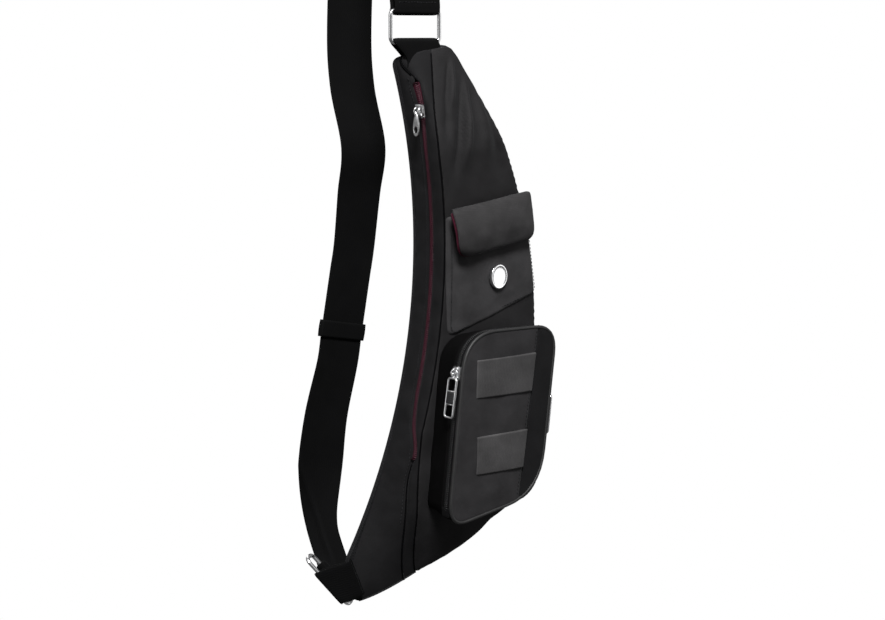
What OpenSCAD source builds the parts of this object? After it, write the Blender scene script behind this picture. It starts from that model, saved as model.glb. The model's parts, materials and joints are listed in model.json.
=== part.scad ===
// Crescent sling bag: a curved body with a side zip, a flap pocket and a zipped box
// pocket on its front, hung from a wide webbing strap with a wire ring at each end.
// Seen from the front X is to the right, Z is up and the front faces -Y.
// The flat back face lies in the plane Y = 0, and all lengths are millimetres.

/* [Body] */
// Depth of the body at its middle
body_depth = 44; // [38:1:52]
// Radius of the concave side that lies along the wearer
arc_radius = 487; // [470:1:505]
// Depth of the body at its top end
top_depth = 20; // [16:1:26]
// Thickness of the sewn fabric walls
wall = 1.5; // [1.2:0.1:1.8]
// Thickness of the foam behind the back panel
padding = 3.8; // [3:0.2:5]

/* [Main zip] */
// Distance of the zip's centre line in front of the back face
zip_line = 23.5; // [22:0.5:25]
// Angle of the closed slider above the horizontal through the arc's centre
slider_angle = 12.6; // [10:0.1:12.6]
// Length of the teardrop pull
teardrop_length = 19; // [18:1:28]

/* [Flap pocket] */
// Width of the flap
flap_width = 86; // [80:1:90]
// Height of the flap
flap_height = 40; // [34:1:44]
// Thickness of the padded flap
flap_thick = 4; // [3:0.2:5]
// Radius of the round button
button_radius = 10.5; // [8:0.5:12]

/* [Box pocket] */
// How far the box pocket's panel stands in front of the body
pocket_depth = 34; // [30:1:38]
// Height of the webbing bands on the panel
band_height = 32; // [26:1:34]
// Length of the framed pulls
frame_pull_length = 40; // [34:1:44]

/* [Strap] */
// Width of the strap webbing
strap_width = 46; // [42:1:50]
// Thickness of the strap webbing
strap_thick = 2.4; // [2:0.1:2.8]
// Height of the strap's top bend above the origin
strap_top = 470; // [430:5:520]
// Radius of the rings' wire
wire_radius = 1.6; // [1.4:0.1:1.7]

/* [Hidden] */

$fn = 48;
gap = 0.1;                       // clearance between pieces sewn side by side
span = 400;                      // longer than the body in every direction
slice = wall + gap;              // the depth that a panel and its clearance take up
deep = 120;                      // deeper than the body and the box pocket together
reach = 90;                      // farther than the box pocket's sides

// The concave side is an arc about an axis parallel to Y, outside the bag on its left.
arc_centre = [-518, 60];
top_angle = 17.5;
tip_angle = -31.6;
top_right = [-4, 212];
strip_end_angle = 1;             // the side strips stop short of the ends by this much
zip_top_angle = 14;
zip_low_angle = -18;

// The body thins towards both ends along two inclined planes.
top_slope_start = 142;
top_slope = atan((body_depth - top_depth) / (top_right[1] - top_slope_start));
tip_slope_start = [-35, -174];
tip_slope = 25.5;
tip_heading = 210;               // direction of the tip, as a turn about Y

// Zip parts, measured from the face of the wall that the zip is sewn into.
tape_face = 0.2;
tape_back = 1.0;
coil_face = -0.6;
coil_in = 0.6;                   // nearest and farthest part of a coil from the centre line
coil_out = 1.5;
tape_in = 1.6;
tape_out = 4;
slider_half_length = 6;
slider_half_width = 4.5;
slider_inner_width = 3.6;
pin_height = 4.2;                // height of the pull's pin above the wall
pin_radius = 0.6;
eye_radius = 1.7;

// Flap pocket: the flap's top edge rises to the right.
flap_centre = [10, 94];
flap_tilt = 7.5;
patch_front = body_depth + 3;
flap_back = patch_front + 0.8;
button_at = [19.5, 31];

// Box pocket: its sides lean and its lower edge rises to the right.
pocket_corners = [[-59, -161], [38, -146], [56, -9], [-41, -7]];
pocket_radii = [16, 15, 15, 27];
left_slider_z = -39;
right_slider_z = -63;
pocket_face = body_depth + pocket_depth;
pocket_zip = pocket_face - 6.2;
side_seam_top = [36, -6];
side_seam_low = [15, -151];
panel_thick = 1.2;
band_thick = 1;
upper_band_z = -28;              // top edges of the two bands
lower_band_z = -90;

// Hardware of the strap.
ring_x = -37;
ring_y = -10;
ring_low = 220;
ring_high = 246;
ring_half_width = strap_width / 2 + wire_radius + 0.4;
ring_corner = 4;
loop_width = strap_width - 1.6;  // loops stop short of the ring's rounded corners
bottom_ring_at = [-111, 12, -213];
bottom_ring_height = 12;
bottom_ring_turn = 52;           // turn of the bottom ring's bars below the horizontal
bottom_ring_pitch = 45;          // how far the bottom ring leans to the back

// ---------- plane geometry ----------

function unit(v) = v / norm(v);
function inward(a, b) = let (u = unit(b - a)) [-u[1], u[0]];
function wrap(list, i) = list[(i + len(list)) % len(list)];

// Moves every corner of an anticlockwise outline inwards by a distance.
function inset_outline(points, distance) = [
    for (i = [0:len(points) - 1])
        let (
            n = inward(wrap(points, i - 1), points[i]),
            m = inward(points[i], wrap(points, i + 1))
        )
        points[i] + (n + m) * distance / (1 + n * m)
];

// Replaces each corner of an outline by an arc of its own radius.
function round_corner(before, corner, after, radius, steps) =
    let (
        a = unit(before - corner),
        b = unit(after - corner),
        half = acos(a * b) / 2,
        centre = corner + unit(a + b) * radius / sin(half),
        start = corner + a * radius / tan(half) - centre,
        first = atan2(start[1], start[0])
    )
    [for (k = [0:steps]) let (t = first + (180 - 2 * half) * k / steps)
        centre + radius * [cos(t), sin(t)]];
function round_outline(points, radii, steps = 6) = [
    for (i = [0:len(points) - 1])
        each round_corner(wrap(points, i - 1), points[i], wrap(points, i + 1), radii[i], steps)
];

function curve(p, steps) = [
    for (k = [0:steps]) let (t = k / steps, s = 1 - t)
        s * s * s * p[0] + 3 * s * s * t * p[1] + 3 * s * t * t * p[2] + t * t * t * p[3]
];
function drop_first(list) = [for (i = [1:len(list) - 1]) list[i]];
function side_angle(a, b) = let (n = inward(a, b)) atan2(n[1], n[0]);
function side_point(a, b, z) = a + (b - a) * (z - a[1]) / (b[1] - a[1]);
function arc_point(angle) = arc_centre + arc_radius * [cos(angle), sin(angle)];

// The crescent, anticlockwise from its lower tip.
convex_low = curve([[20, -172], [84, -148], [67, -100], [66, -20]], 9);
convex_high = curve([[66, -20], [68, 66], [37, 132], top_right], 9);
concave = [for (k = [0:24]) arc_point(top_angle + (tip_angle - top_angle) * k / 24)];
body_outline = concat([[-97, -226]], convex_low, drop_first(convex_high), concave);

function pocket_outline(inset) =
    round_outline(inset_outline(pocket_corners, inset), [for (r = pocket_radii) r - inset]);

// ---------- placing ----------

// A flat outline in X and Z, filled from one distance in front of the back face to another.
module plate(points, near, far) {
    translate([0, -near, 0]) rotate([90, 0, 0]) linear_extrude(far - near) polygon(points);
}

// Local X points into the bag, Y up along the wall and Z to the front.
module on_wall(origin, angle) {
    translate(origin) rotate([90, 0, 0]) rotate([0, 0, angle]) children();
}

module about_arc() {
    on_wall([arc_centre[0], 0, arc_centre[1]], 0) children();
}

// A bar that follows the concave side: inner and outer depth below its face, distance in
// front of the back face, and the angles between which it runs.
module arc_bar(face, back, near, far, low, high) {
    about_arc() rotate([0, 0, low]) rotate_extrude(angle = high - low, $fn = 180)
        translate([arc_radius + face, near]) square([back - face, far - near]);
}

module tilted_front(centre, y, tilt) {
    translate([centre[0], y, centre[1]]) rotate([0, -tilt, 0]) children();
}

// Everything in front of the two inclined planes, moved back by an offset.
module slopes(offset_y) {
    translate([0, offset_y - body_depth, top_slope_start]) rotate([-top_slope, 0, 0])
        translate([-span / 2, -100, 0]) cube([span, 100, span / 2]);
    translate([tip_slope_start[0], offset_y - body_depth, tip_slope_start[1]])
        rotate([0, tip_heading, 0]) rotate([-tip_slope, 0, 0])
            translate([-span / 2, -100, 0]) cube([span, 100, span / 2]);
}

// ---------- body ----------

module back_panel() {
    color("#17171a") plate(body_outline, 0, wall);
}

module back_padding() {
    color("#2a2a2e") plate(inset_outline(body_outline, 4), slice, wall + padding);
}

// A strip of the concave side, with a wider part beyond each end of the zip.
module side_strip(near, far, fill_near, fill_far) {
    low = tip_angle + strip_end_angle;
    high = top_angle - strip_end_angle;
    difference() {
        union() {
            arc_bar(0, wall, near, far, low, high);
            arc_bar(0, wall, fill_near, fill_far, low, zip_low_angle);
            arc_bar(0, wall, fill_near, fill_far, zip_top_angle, high);
        }
        slopes(slice);
    }
}

module gusset_back_strip() {
    edge = zip_line - tape_out - gap;
    color("#121214") side_strip(slice, edge, edge - wall, zip_line - gap / 2);
}

module gusset_front_strip() {
    edge = zip_line + tape_out + gap;
    color("#151518") side_strip(edge, body_depth - slice, zip_line + gap / 2, edge + wall);
}

module convex_gusset() {
    color("#121214") difference() {
        plate(body_outline, slice, body_depth - slice);
        plate(inset_outline(body_outline, wall), 0, body_depth);
        arc_bar(-5, wall + gap, 0, body_depth, tip_angle + strip_end_angle - gap,
            top_angle - strip_end_angle + gap);
        slopes(slice);
    }
}

module front_panel() {
    color("#242427") difference() {
        plate(body_outline, 5, body_depth);
        difference() {
            plate(inset_outline(body_outline, -2), 0, body_depth - wall);
            slopes(wall);
        }
        slopes(0);
    }
}

module lining_block(inset) {
    difference() {
        plate(inset_outline(body_outline, inset), wall + padding + inset / 2, body_depth - inset);
        slopes(inset);
    }
}

module lining() {
    color("#4a1024") difference() {
        lining_block(2.6);
        lining_block(3.2);
        arc_bar(-5, 8, zip_line - 6, zip_line + 6, zip_low_angle - 1, zip_top_angle + 1);
    }
}

// ---------- zips ----------

module main_zip_tape(side) {
    near = side < 0 ? zip_line - tape_out : zip_line + tape_in;
    color("#5a1530")
        arc_bar(tape_face, tape_back, near, near + tape_out - tape_in, zip_low_angle, zip_top_angle);
}

module main_zip_coil(side) {
    near = side < 0 ? zip_line - coil_out : zip_line + coil_in;
    color("#3c0f20")
        arc_bar(coil_face, tape_back, near, near + coil_out - coil_in, zip_low_angle + 0.3,
            zip_top_angle - 0.3);
}

module main_zip_stops() {
    color("silver") for (a = [zip_low_angle, zip_top_angle - 0.25])
        arc_bar(coil_face, tape_back, zip_line - coil_out, zip_line + coil_out, a, a + 0.25);
}

// Slider about its own centre on a zip: two plates, a post between the coils and a pin.
module zip_slider() {
    color("silver") {
        translate([-2.2, -slider_half_length, -slider_half_width])
            cube([1.2, 2 * slider_half_length, 2 * slider_half_width]);
        translate([1.3, -slider_half_length, -slider_inner_width])
            cube([1.1, 2 * slider_half_length, 2 * slider_inner_width]);
        translate([-1.1, 3, -0.35]) cube([2.6, 2.6, 0.7]);
        for (side = [-1, 1])
            translate([-pin_height - 1, -1.3, side * 2.8 - 0.5]) cube([pin_height - 1, 2.6, 1]);
        translate([-pin_height, 0, -3]) cylinder(r = pin_radius, h = 6);
    }
}

// Eye that turns on the slider's pin, with a neck below it.
module pull_eye() {
    difference() {
        union() {
            translate([-pin_height, 0, -2]) cylinder(r = eye_radius, h = 4);
            translate([-pin_height - 0.7, -4.5, -2]) cube([1.4, 4.5, 4]);
        }
        translate([-pin_height, 0, -3]) cylinder(r = pin_radius + 0.08, h = 6);
    }
}

module across(x, y) {
    translate([x, y, 0]) rotate([0, -90, 0]) children();
}

module teardrop_pull() {
    color("silver") {
        pull_eye();
        difference() {
            union() {
                across(-pin_height + 0.7, -7.2) cylinder(r = 3.2, h = 1.4);
                across(-pin_height + 0.7, 4.4 - teardrop_length) cylinder(r = 4.4, h = 1.4);
                translate([-pin_height - 0.7, 4.4 - teardrop_length, -3.2])
                    cube([1.4, teardrop_length - 12.4, 6.4]);
            }
            across(-pin_height + 1, 4.4 - teardrop_length) cylinder(r = 2.4, h = 2);
        }
    }
}

// Framed pull with two windows, and the grip that is wrapped round its middle.
frame_half_width = 5.8;
grip_half_length = 5;
frame_middle = -3 - frame_pull_length / 2;

module framed_pull() {
    rod = 1.8;
    window = frame_pull_length / 2 - grip_half_length - 0.3 - rod;
    color("silver") {
        pull_eye();
        difference() {
            translate([-pin_height - 0.9, -3 - frame_pull_length, -frame_half_width])
                cube([1.8, frame_pull_length, 2 * frame_half_width]);
            for (y = [-3 - frame_pull_length + rod, -3 - rod - window])
                translate([-pin_height - 2, y, rod - frame_half_width])
                    cube([4, window, 2 * (frame_half_width - rod)]);
            translate([-pin_height - 2, frame_middle - grip_half_length, rod - frame_half_width])
                cube([4, 2 * grip_half_length, 2 * frame_half_width]);
        }
    }
}

module pull_grip() {
    inner = frame_half_width - 1.8;
    color("#101012")
        translate([-pin_height - 1.3, frame_middle - grip_half_length + gap, gap - inner])
            cube([2.6, 2 * (grip_half_length - gap), 2 * inner]);
}

module at_main_slider() {
    about_arc() rotate([0, 0, slider_angle]) translate([arc_radius, 0, zip_line]) children();
}

// A place on the left or right side of the box pocket, at a height, on its zip line.
module on_left_side(z) {
    p = side_point(pocket_corners[3], pocket_corners[0], z);
    on_wall([p[0], -pocket_zip, z], side_angle(pocket_corners[3], pocket_corners[0])) children();
}

module on_right_side(z) {
    p = side_point(pocket_corners[1], pocket_corners[2], z);
    on_wall([p[0], -pocket_zip, z], side_angle(pocket_corners[1], pocket_corners[2]))
        rotate([180, 0, 0]) children();
}

// Turns a pull about its pin, away from the wall.
module swung(angle) {
    translate([-pin_height, 0, 0]) rotate([0, 0, -angle]) translate([pin_height, 0, 0]) children();
}

// ---------- flap pocket ----------

patch_corners = [[-34, -11], [59, 13], [50, 86], [-37, 80]];
patch_radii = [6, 4, 3, 3];

module patch_pocket() {
    sheet = 1;
    color("#2b2b2e") difference() {
        plate(round_outline(patch_corners, patch_radii, 3), body_depth + gap, patch_front);
        plate([[-30, -5], [55, 18], [46, 100], [-33, 100]], body_depth, patch_front - sheet);
        translate([button_at[0], -body_depth, button_at[1]]) rotate([90, 0, 0])
            cylinder(r = 2.1, h = 5);
    }
}

module flap_seam_strip() {
    color("#1d1d20") tilted_front(flap_centre, -(body_depth + gap) - 1.6, flap_tilt)
        translate([2 - flap_width / 2, 0, 1.2]) cube([flap_width - 12, 1.6, 3]);
}

module flap_shape(inset, near, far) {
    half = flap_width / 2 - inset;
    low = inset - flap_height;
    corners = [[-half, low], [half, low], [half, -inset], [-half, -inset]];
    tilted_front(flap_centre, 0, flap_tilt)
        plate(round_outline(corners, [12, 12, 3, 3]), near, far);
}

module pocket_flap() {
    color("#39393c") flap_shape(0, flap_back + 1.2, flap_back + 1.2 + flap_thick);
}

module flap_lining() {
    color("#4a1024") flap_shape(1.5, flap_back + 0.1, flap_back + 1.1);
}

module closing_patch(near, far) {
    color("#0e0e10") tilted_front([flap_centre[0] + 3, flap_centre[1] - 26], -far, flap_tilt)
        translate([-20, 0, -8]) cube([40, far - near, 16]);
}

module flap_hook_patch() {
    closing_patch(flap_back - 0.3, flap_back + 0.05);
}

module pocket_loop_patch() {
    closing_patch(patch_front + 0.05, patch_front + 0.4);
}

module button_disc(r, near, far) {
    translate([button_at[0], -near, button_at[1]]) rotate([90, 0, 0])
        cylinder(r = r, h = far - near);
}

module button_cap() {
    face = patch_front + 2.6;
    color("silver") difference() {
        button_disc(button_radius, patch_front + gap, face);
        difference() {
            button_disc(button_radius - 1.6, face - 0.5, face + 1);
            button_disc(button_radius - 4, face - 1, face + 2);
        }
    }
}

module button_post() {
    color("gray") button_disc(2, patch_front - 1.6, patch_front);
}

module button_washer() {
    color("gray") difference() {
        button_disc(6, patch_front - 1.6, patch_front - 1 - gap);
        button_disc(2.1, patch_front - 3, patch_front);
    }
}

// ---------- box pocket ----------

module pocket_ring(outer, inner, near, far) {
    difference() {
        plate(pocket_outline(outer), near, far);
        plate(pocket_outline(inner), near - 1, far + 1);
    }
}

// Keeps the part of a pocket ring above the ends of the zip.
zip_end_left = -143;
zip_end_right = -127;
tab_length = 6;
above_pocket = 40;

module zip_run() {
    intersection() {
        children();
        plate([[-reach, zip_end_left - tab_length], [reach, zip_end_right + 2 * tab_length],
            [reach, above_pocket], [-reach, above_pocket]], 0, deep);
    }
}

module below_zip() {
    difference() {
        children();
        plate([[-reach, zip_end_left - tab_length - gap],
            [reach, zip_end_right + 2 * tab_length - gap],
            [reach, above_pocket], [-reach, above_pocket]], 0, deep);
    }
}

module box_pocket_wall() {
    color("#0f0f11") pocket_ring(0, wall, body_depth + gap, pocket_zip - tape_out - gap);
    color("#0f0f11") below_zip()
        pocket_ring(0, wall, pocket_zip - tape_out - gap, pocket_zip - gap);
}

module box_pocket_lining() {
    color("#1c1c20") difference() {
        plate(pocket_outline(wall + gap), body_depth + gap, pocket_zip - 8);
        plate(pocket_outline(wall + gap + 0.6), body_depth + 0.8, pocket_zip);
    }
}

module pocket_tape(near) {
    color("#141416") zip_run()
        pocket_ring(tape_face, tape_back, near, near + tape_out - tape_in);
}

module pocket_zip_tape_base() {
    pocket_tape(pocket_zip - tape_out);
}

module pocket_zip_tape_lid() {
    pocket_tape(pocket_zip + tape_in);
}

module pocket_coil(near) {
    color("#1a1a1c") zip_run()
        pocket_ring(coil_face, tape_back, near, near + coil_out - coil_in);
}

module pocket_zip_coil_base() {
    pocket_coil(pocket_zip - coil_out);
}

module pocket_zip_coil_lid() {
    pocket_coil(pocket_zip + coil_in);
}

// Folded tabs of tape that stand out at the two ends of the zip.
module pocket_zip_end_tabs() {
    color("#141416") {
        on_left_side(zip_end_left) translate([-1.2, -3, -6.5]) cube([1.1, tab_length, 5]);
        on_right_side(zip_end_right) translate([-1.2, -3, 1.5]) cube([1.1, tab_length, 5]);
    }
}

module pocket_lid_wall() {
    edge = pocket_zip + tape_out + gap;
    color("#0f0f11") pocket_ring(0, wall, edge, pocket_face - gap);
    color("#0f0f11") below_zip() pocket_ring(0, wall, pocket_zip + gap, edge);
}

// The panel is cut along a slanted seam, and a darker strip fills the part to its right.
module right_of_seam(shift) {
    down = unit(side_seam_low - side_seam_top);
    top = side_seam_top - down * 40 + [shift, 0];
    low = side_seam_low + down * 40 + [shift, 0];
    plate([low, low + [deep, 0], top + [deep, 0], top], 0, deep);
}

module pocket_lid_panel() {
    color("#26262a") difference() {
        plate(pocket_outline(0.3), pocket_face, pocket_face + panel_thick);
        right_of_seam(0);
    }
}

module pocket_side_strip() {
    color("#161618") intersection() {
        plate(pocket_outline(0.3), pocket_face, pocket_face + panel_thick);
        right_of_seam(gap);
    }
}

module pocket_piping() {
    color("#6a6a6e") difference() {
        plate(pocket_outline(-1.4), pocket_face, pocket_face + 1.6);
        plate(pocket_outline(0.2), 0, deep);
    }
}

module band(z) {
    near = pocket_face + panel_thick + gap;
    color("#434347") difference() {
        intersection() {
            plate([[-reach, z - band_height], [reach, z - band_height], [reach, z], [-reach, z]],
                near, near + band_thick);
            plate(pocket_outline(1.5), 0, deep);
        }
        right_of_seam(-0.6);
    }
}

module band_upper() {
    band(upper_band_z);
}

module band_lower() {
    band(lower_band_z);
}

// ---------- strap ----------

// A ribbon through a row of stations, each a place, a direction of its width and one
// of its thickness.
module ribbon(stations, width, thick) {
    last = len(stations) - 1;
    points = [for (s = stations) each [for (c = [[-1, -1], [1, -1], [1, 1], [-1, 1]])
        s[0] + s[1] * c[0] * width / 2 + s[2] * c[1] * thick / 2]];
    sides = [for (i = [0:last - 1], k = [0:3]) each [
        [4 * i + k, 4 * i + (k + 1) % 4, 4 * i + 4 + k],
        [4 * i + (k + 1) % 4, 4 * i + 4 + (k + 1) % 4, 4 * i + 4 + k]]];
    ends = [[3, 2, 1], [3, 1, 0], [4 * last, 4 * last + 1, 4 * last + 2],
        [4 * last, 4 * last + 2, 4 * last + 3]];
    polyhedron(points = points, faces = concat(sides, ends));
}

function stations(path, wishes) = [
    for (i = [0:len(path) - 1])
        let (
            along = unit(path[min(i + 1, len(path) - 1)] - path[max(i - 1, 0)]),
            w = unit(wishes[i] - along * (along * wishes[i]))
        )
        [path[i], w, cross(along, w)]
];

// A smooth path through a row of places.
function chain(corners, steps) = [
    for (i = [0:len(corners) - 2], k = [0:steps - 1])
        let (
            a = corners[max(i - 1, 0)],
            b = corners[i],
            c = corners[i + 1],
            d = corners[min(i + 2, len(corners) - 1)],
            t = k / steps
        )
        0.5 * (2 * b + (c - a) * t + (2 * a - 5 * b + 4 * c - d) * t * t
            + (3 * b - a - 3 * c + d) * t * t * t)
];

ring_bar = [ring_x, ring_y, ring_high];
strap_bend = [ring_x, 33, strap_top];
straight_top = [-38, 70, 52];
straight_low = [-57, 70, -48];
straight = unit(straight_low - straight_top);
level = unit([1, 0.09, 0] - straight * straight[0]);
loop_reach = wire_radius + 3.2;  // where the webbing meets the loop round a bar
bottom_along = [cos(bottom_ring_turn), 0, -sin(bottom_ring_turn)];
bottom_out = [
    sin(bottom_ring_turn) * cos(bottom_ring_pitch),
    sin(bottom_ring_pitch),
    cos(bottom_ring_turn) * cos(bottom_ring_pitch)
];
strap_bar = bottom_ring_at + bottom_ring_height * bottom_out;

upper_path = concat(
    [ring_bar + [0, 0, loop_reach]],
    chain([ring_bar + [0, 1, 12], ring_bar + [0, 14, 110], strap_bend + [0, -14, -22], strap_bend,
        strap_bend + [0, 14, -22], [ring_x, 66, 350], [ring_x, 76, 240], [ring_x - 1, 72, 185],
        [-36, 60, 134], [-36, 66, 95]], 4),
    [straight_top, straight_top + 4 * straight]);
lower_path = concat(
    [straight_low - 4 * straight],
    chain([straight_low, [-69, 68, -94], [-84, 58, -141], [-97, 43, -177]], 5),
    [strap_bar + 14 * bottom_out, strap_bar + loop_reach * bottom_out]);
lower_last = len(lower_path) - 1;
level_from = 20;                 // station from which the strap's width lies level

module strap_webbing() {
    wishes = concat(
        [for (i = [0:len(upper_path) - 1]) i < level_from ? [1, 0, 0] : level],
        [for (i = [0:lower_last]) level + (bottom_along - level) * pow(i / lower_last, 1.5)]);
    color("#0c0c0e")
        ribbon(stations(concat(upper_path, lower_path), wishes), strap_width, strap_thick);
}

module strap_end_loops() {
    color("#0c0c0e") {
        translate(ring_bar) bar_loop(loop_width);
        at_bottom_ring() translate([0, 0, bottom_ring_height]) bar_loop(loop_width);
    }
}

// Loops of webbing folded round a ring's bar, about local X.
module bar_loop(width) {
    rotate([0, 90, 0]) difference() {
        cylinder(r = wire_radius + 2.4, h = width, center = true);
        cylinder(r = wire_radius + 0.3, h = width + 2, center = true);
    }
}

// Rectangular ring of wire: bars along local X, at local Z = 0 and Z = height.
module wire_corner() {
    rotate([90, 0, 0]) rotate_extrude(angle = 90) translate([ring_corner, 0])
        circle(r = wire_radius);
}

module wire_ring(height) {
    flat = 2 * (ring_half_width - ring_corner);
    rise = height - 2 * ring_corner;
    color("silver") for (side = [0, 180]) translate([0, 0, height / 2]) rotate([0, side, 0]) {
        translate([0, 0, height / 2]) rotate([0, 90, 0])
            cylinder(r = wire_radius, h = flat, center = true);
        translate([ring_half_width, 0, 0]) cylinder(r = wire_radius, h = rise, center = true);
        translate([flat / 2, 0, rise / 2]) wire_corner();
        translate([flat / 2, 0, -rise / 2]) rotate([0, 90, 0]) wire_corner();
    }
}

module top_ring() {
    translate([ring_x, ring_y, ring_low]) wire_ring(ring_high - ring_low);
}

module top_tab_loop() {
    color("#0e0e10") translate([ring_x, ring_y, ring_low]) {
        bar_loop(loop_width);
        translate([-loop_width / 2, -1.6, -4.4]) cube([loop_width, 3.2, 1.4]);
    }
}

// The tabs' sewn-in ends follow the slant of the body's edges.
module top_tab() {
    slant = 7.4;
    color("#0e0e10") translate([ring_x - 15, ring_y - 1.6, ring_low - 12.2])
        rotate([0, -slant, 0]) cube([38, 3.2, 2.6]);
}

module strap_keeper() {
    middle = straight_top + (straight_low - straight_top) * 0.72;
    face = cross(straight, level);
    to_strap = [for (k = [0:2]) [level[k], face[k], -straight[k], middle[k]]];
    color("#08080a") multmatrix(to_strap) difference() {
        cube([strap_width + 4.4, strap_thick + 4.4, 14], center = true);
        cube([strap_width + 1.2, strap_thick + 1.2, 20], center = true);
    }
}

module at_bottom_ring() {
    translate(bottom_ring_at) rotate([0, bottom_ring_turn, 0]) rotate([-bottom_ring_pitch, 0, 0])
        children();
}

module bottom_ring() {
    at_bottom_ring() wire_ring(bottom_ring_height);
}

module bottom_tab_loop() {
    color("#0e0e10") at_bottom_ring() {
        bar_loop(42);
        translate([-21, -1.6, -6.5]) cube([42, 3.2, 3.2]);
    }
}

module bottom_tab() {
    slant = 81;
    color("#0e0e10") translate([-102.5, -5, -210]) rotate([0, slant, 0])
        cube([24, 7, 3], center = true);
}

back_panel();
back_padding();
gusset_back_strip();
gusset_front_strip();
convex_gusset();
front_panel();
lining();
main_zip_tape(-1);  // main_zip_tape_back
main_zip_tape(1);  // main_zip_tape_front
main_zip_coil(-1);  // main_zip_coil_back
main_zip_coil(1);  // main_zip_coil_front
main_zip_stops();
at_main_slider() zip_slider();  // main_zip_slider
at_main_slider() swung(slider_angle) teardrop_pull();  // main_zip_pull
patch_pocket();
flap_seam_strip();
pocket_flap();
flap_lining();
flap_hook_patch();
pocket_loop_patch();
button_cap();
button_post();
button_washer();
box_pocket_wall();
box_pocket_lining();
pocket_zip_tape_base();
pocket_zip_tape_lid();
pocket_zip_coil_base();
pocket_zip_coil_lid();
pocket_zip_end_tabs();
pocket_lid_wall();
pocket_lid_panel();
pocket_side_strip();
pocket_piping();
band_upper();
band_lower();
on_left_side(left_slider_z) zip_slider();  // left_zip_slider
on_left_side(left_slider_z) framed_pull();  // left_zip_pull
on_left_side(left_slider_z) pull_grip();  // left_pull_grip
on_right_side(right_slider_z) zip_slider();  // right_zip_slider
on_right_side(right_slider_z) swung(-2) framed_pull();  // right_zip_pull
on_right_side(right_slider_z) swung(-2) pull_grip();  // right_pull_grip
top_tab();
top_tab_loop();
top_ring();
strap_webbing();
strap_end_loops();
strap_keeper();
bottom_ring();
bottom_tab_loop();
bottom_tab();
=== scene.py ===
"""Looks of the crescent sling bag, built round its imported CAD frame.

Points are worked out in millimetres in the CAD frame: X to the right, -Y to the front, Z up.
Every mesh is scaled to metres when it is made.
"""

import json
import math
from itertools import product

import bmesh
import bpy
import numpy as np
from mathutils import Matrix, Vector, noise


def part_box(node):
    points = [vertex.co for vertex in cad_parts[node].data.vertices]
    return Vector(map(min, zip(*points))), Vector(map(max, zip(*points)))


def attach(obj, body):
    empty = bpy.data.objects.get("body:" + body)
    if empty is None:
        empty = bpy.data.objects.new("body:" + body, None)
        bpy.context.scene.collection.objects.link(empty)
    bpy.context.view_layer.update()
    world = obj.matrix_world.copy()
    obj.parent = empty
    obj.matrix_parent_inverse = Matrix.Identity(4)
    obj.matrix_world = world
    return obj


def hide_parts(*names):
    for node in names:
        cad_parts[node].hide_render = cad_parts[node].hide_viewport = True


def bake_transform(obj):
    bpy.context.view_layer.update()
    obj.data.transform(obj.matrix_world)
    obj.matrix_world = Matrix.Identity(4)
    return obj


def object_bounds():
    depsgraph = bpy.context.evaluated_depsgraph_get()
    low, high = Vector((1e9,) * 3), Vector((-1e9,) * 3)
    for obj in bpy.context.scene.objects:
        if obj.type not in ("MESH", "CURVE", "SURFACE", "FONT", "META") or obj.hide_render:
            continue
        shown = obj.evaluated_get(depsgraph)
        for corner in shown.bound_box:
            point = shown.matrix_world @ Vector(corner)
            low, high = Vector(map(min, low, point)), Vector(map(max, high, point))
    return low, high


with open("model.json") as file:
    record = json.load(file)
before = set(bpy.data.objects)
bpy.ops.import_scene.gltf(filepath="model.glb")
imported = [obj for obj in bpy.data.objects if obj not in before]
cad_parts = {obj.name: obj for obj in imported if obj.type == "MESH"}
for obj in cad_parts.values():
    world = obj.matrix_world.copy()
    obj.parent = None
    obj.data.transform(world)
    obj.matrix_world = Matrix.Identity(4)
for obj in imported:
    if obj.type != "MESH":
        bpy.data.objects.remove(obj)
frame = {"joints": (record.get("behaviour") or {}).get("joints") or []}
cad_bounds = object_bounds()

MM = 0.001


# ---------- numbers from the frame ----------

def box_mm(node):
    low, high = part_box(node)
    return np.array(low) / MM, np.array(high) / MM


def joint(name):
    return next(j for j in frame["joints"] if j["name"] == name)


ZIP_PIVOT = np.array(joint("main_zip_travel")["pos_m"]) / MM
TAPE_BACK = 1.0
ARC_RADIUS = box_mm("main_zip_tape_front")[1][0] - ZIP_PIVOT[0] - TAPE_BACK
DEPTH = -box_mm("front_panel")[0][1]
ZIP_LINE = -(box_mm("main_zip_tape_front")[0][1] + box_mm("main_zip_tape_back")[1][1]) / 2
TOP_ANGLE = 17.5
TIP_ANGLE = -31.6
WING_ANGLE = -18
TOP_RIGHT = np.array([-4, 218])
SEAM_TOP_END = np.array([-25, 214.3])      # where the front seam meets the top edge
SEAM_LEAVES = 8                            # angle at which the front seam leaves the arc
TIP = np.array([-97, -229])
BOTTOM_RIGHT = np.array([20, -172])
EDGE_DROP = 4.0                     # how far the front seam lies behind the crown of the panel
TOP_THINS_FROM = 142                # height from which the body thins towards its top
TOP_SLOPE = 24 / 70
TIP_THINS_FROM = np.array([-35, -174])
TO_TIP = np.array([-0.5, -0.866])
TIP_SLOPE = math.tan(math.radians(25.5))


def arc_point(angle, radius=ARC_RADIUS):
    a = math.radians(angle)
    return np.array([ZIP_PIVOT[0] + radius * math.cos(a), ZIP_PIVOT[2] + radius * math.sin(a)])


def soft_positive(s, width=9.0):
    return (s + np.sqrt(s * s + width * width)) / 2


def unit(v):
    """One vector, or each of a row of vectors, at length 1."""
    v = np.asarray(v, float)
    return v / np.linalg.norm(v, axis=-1, keepdims=True)


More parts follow.
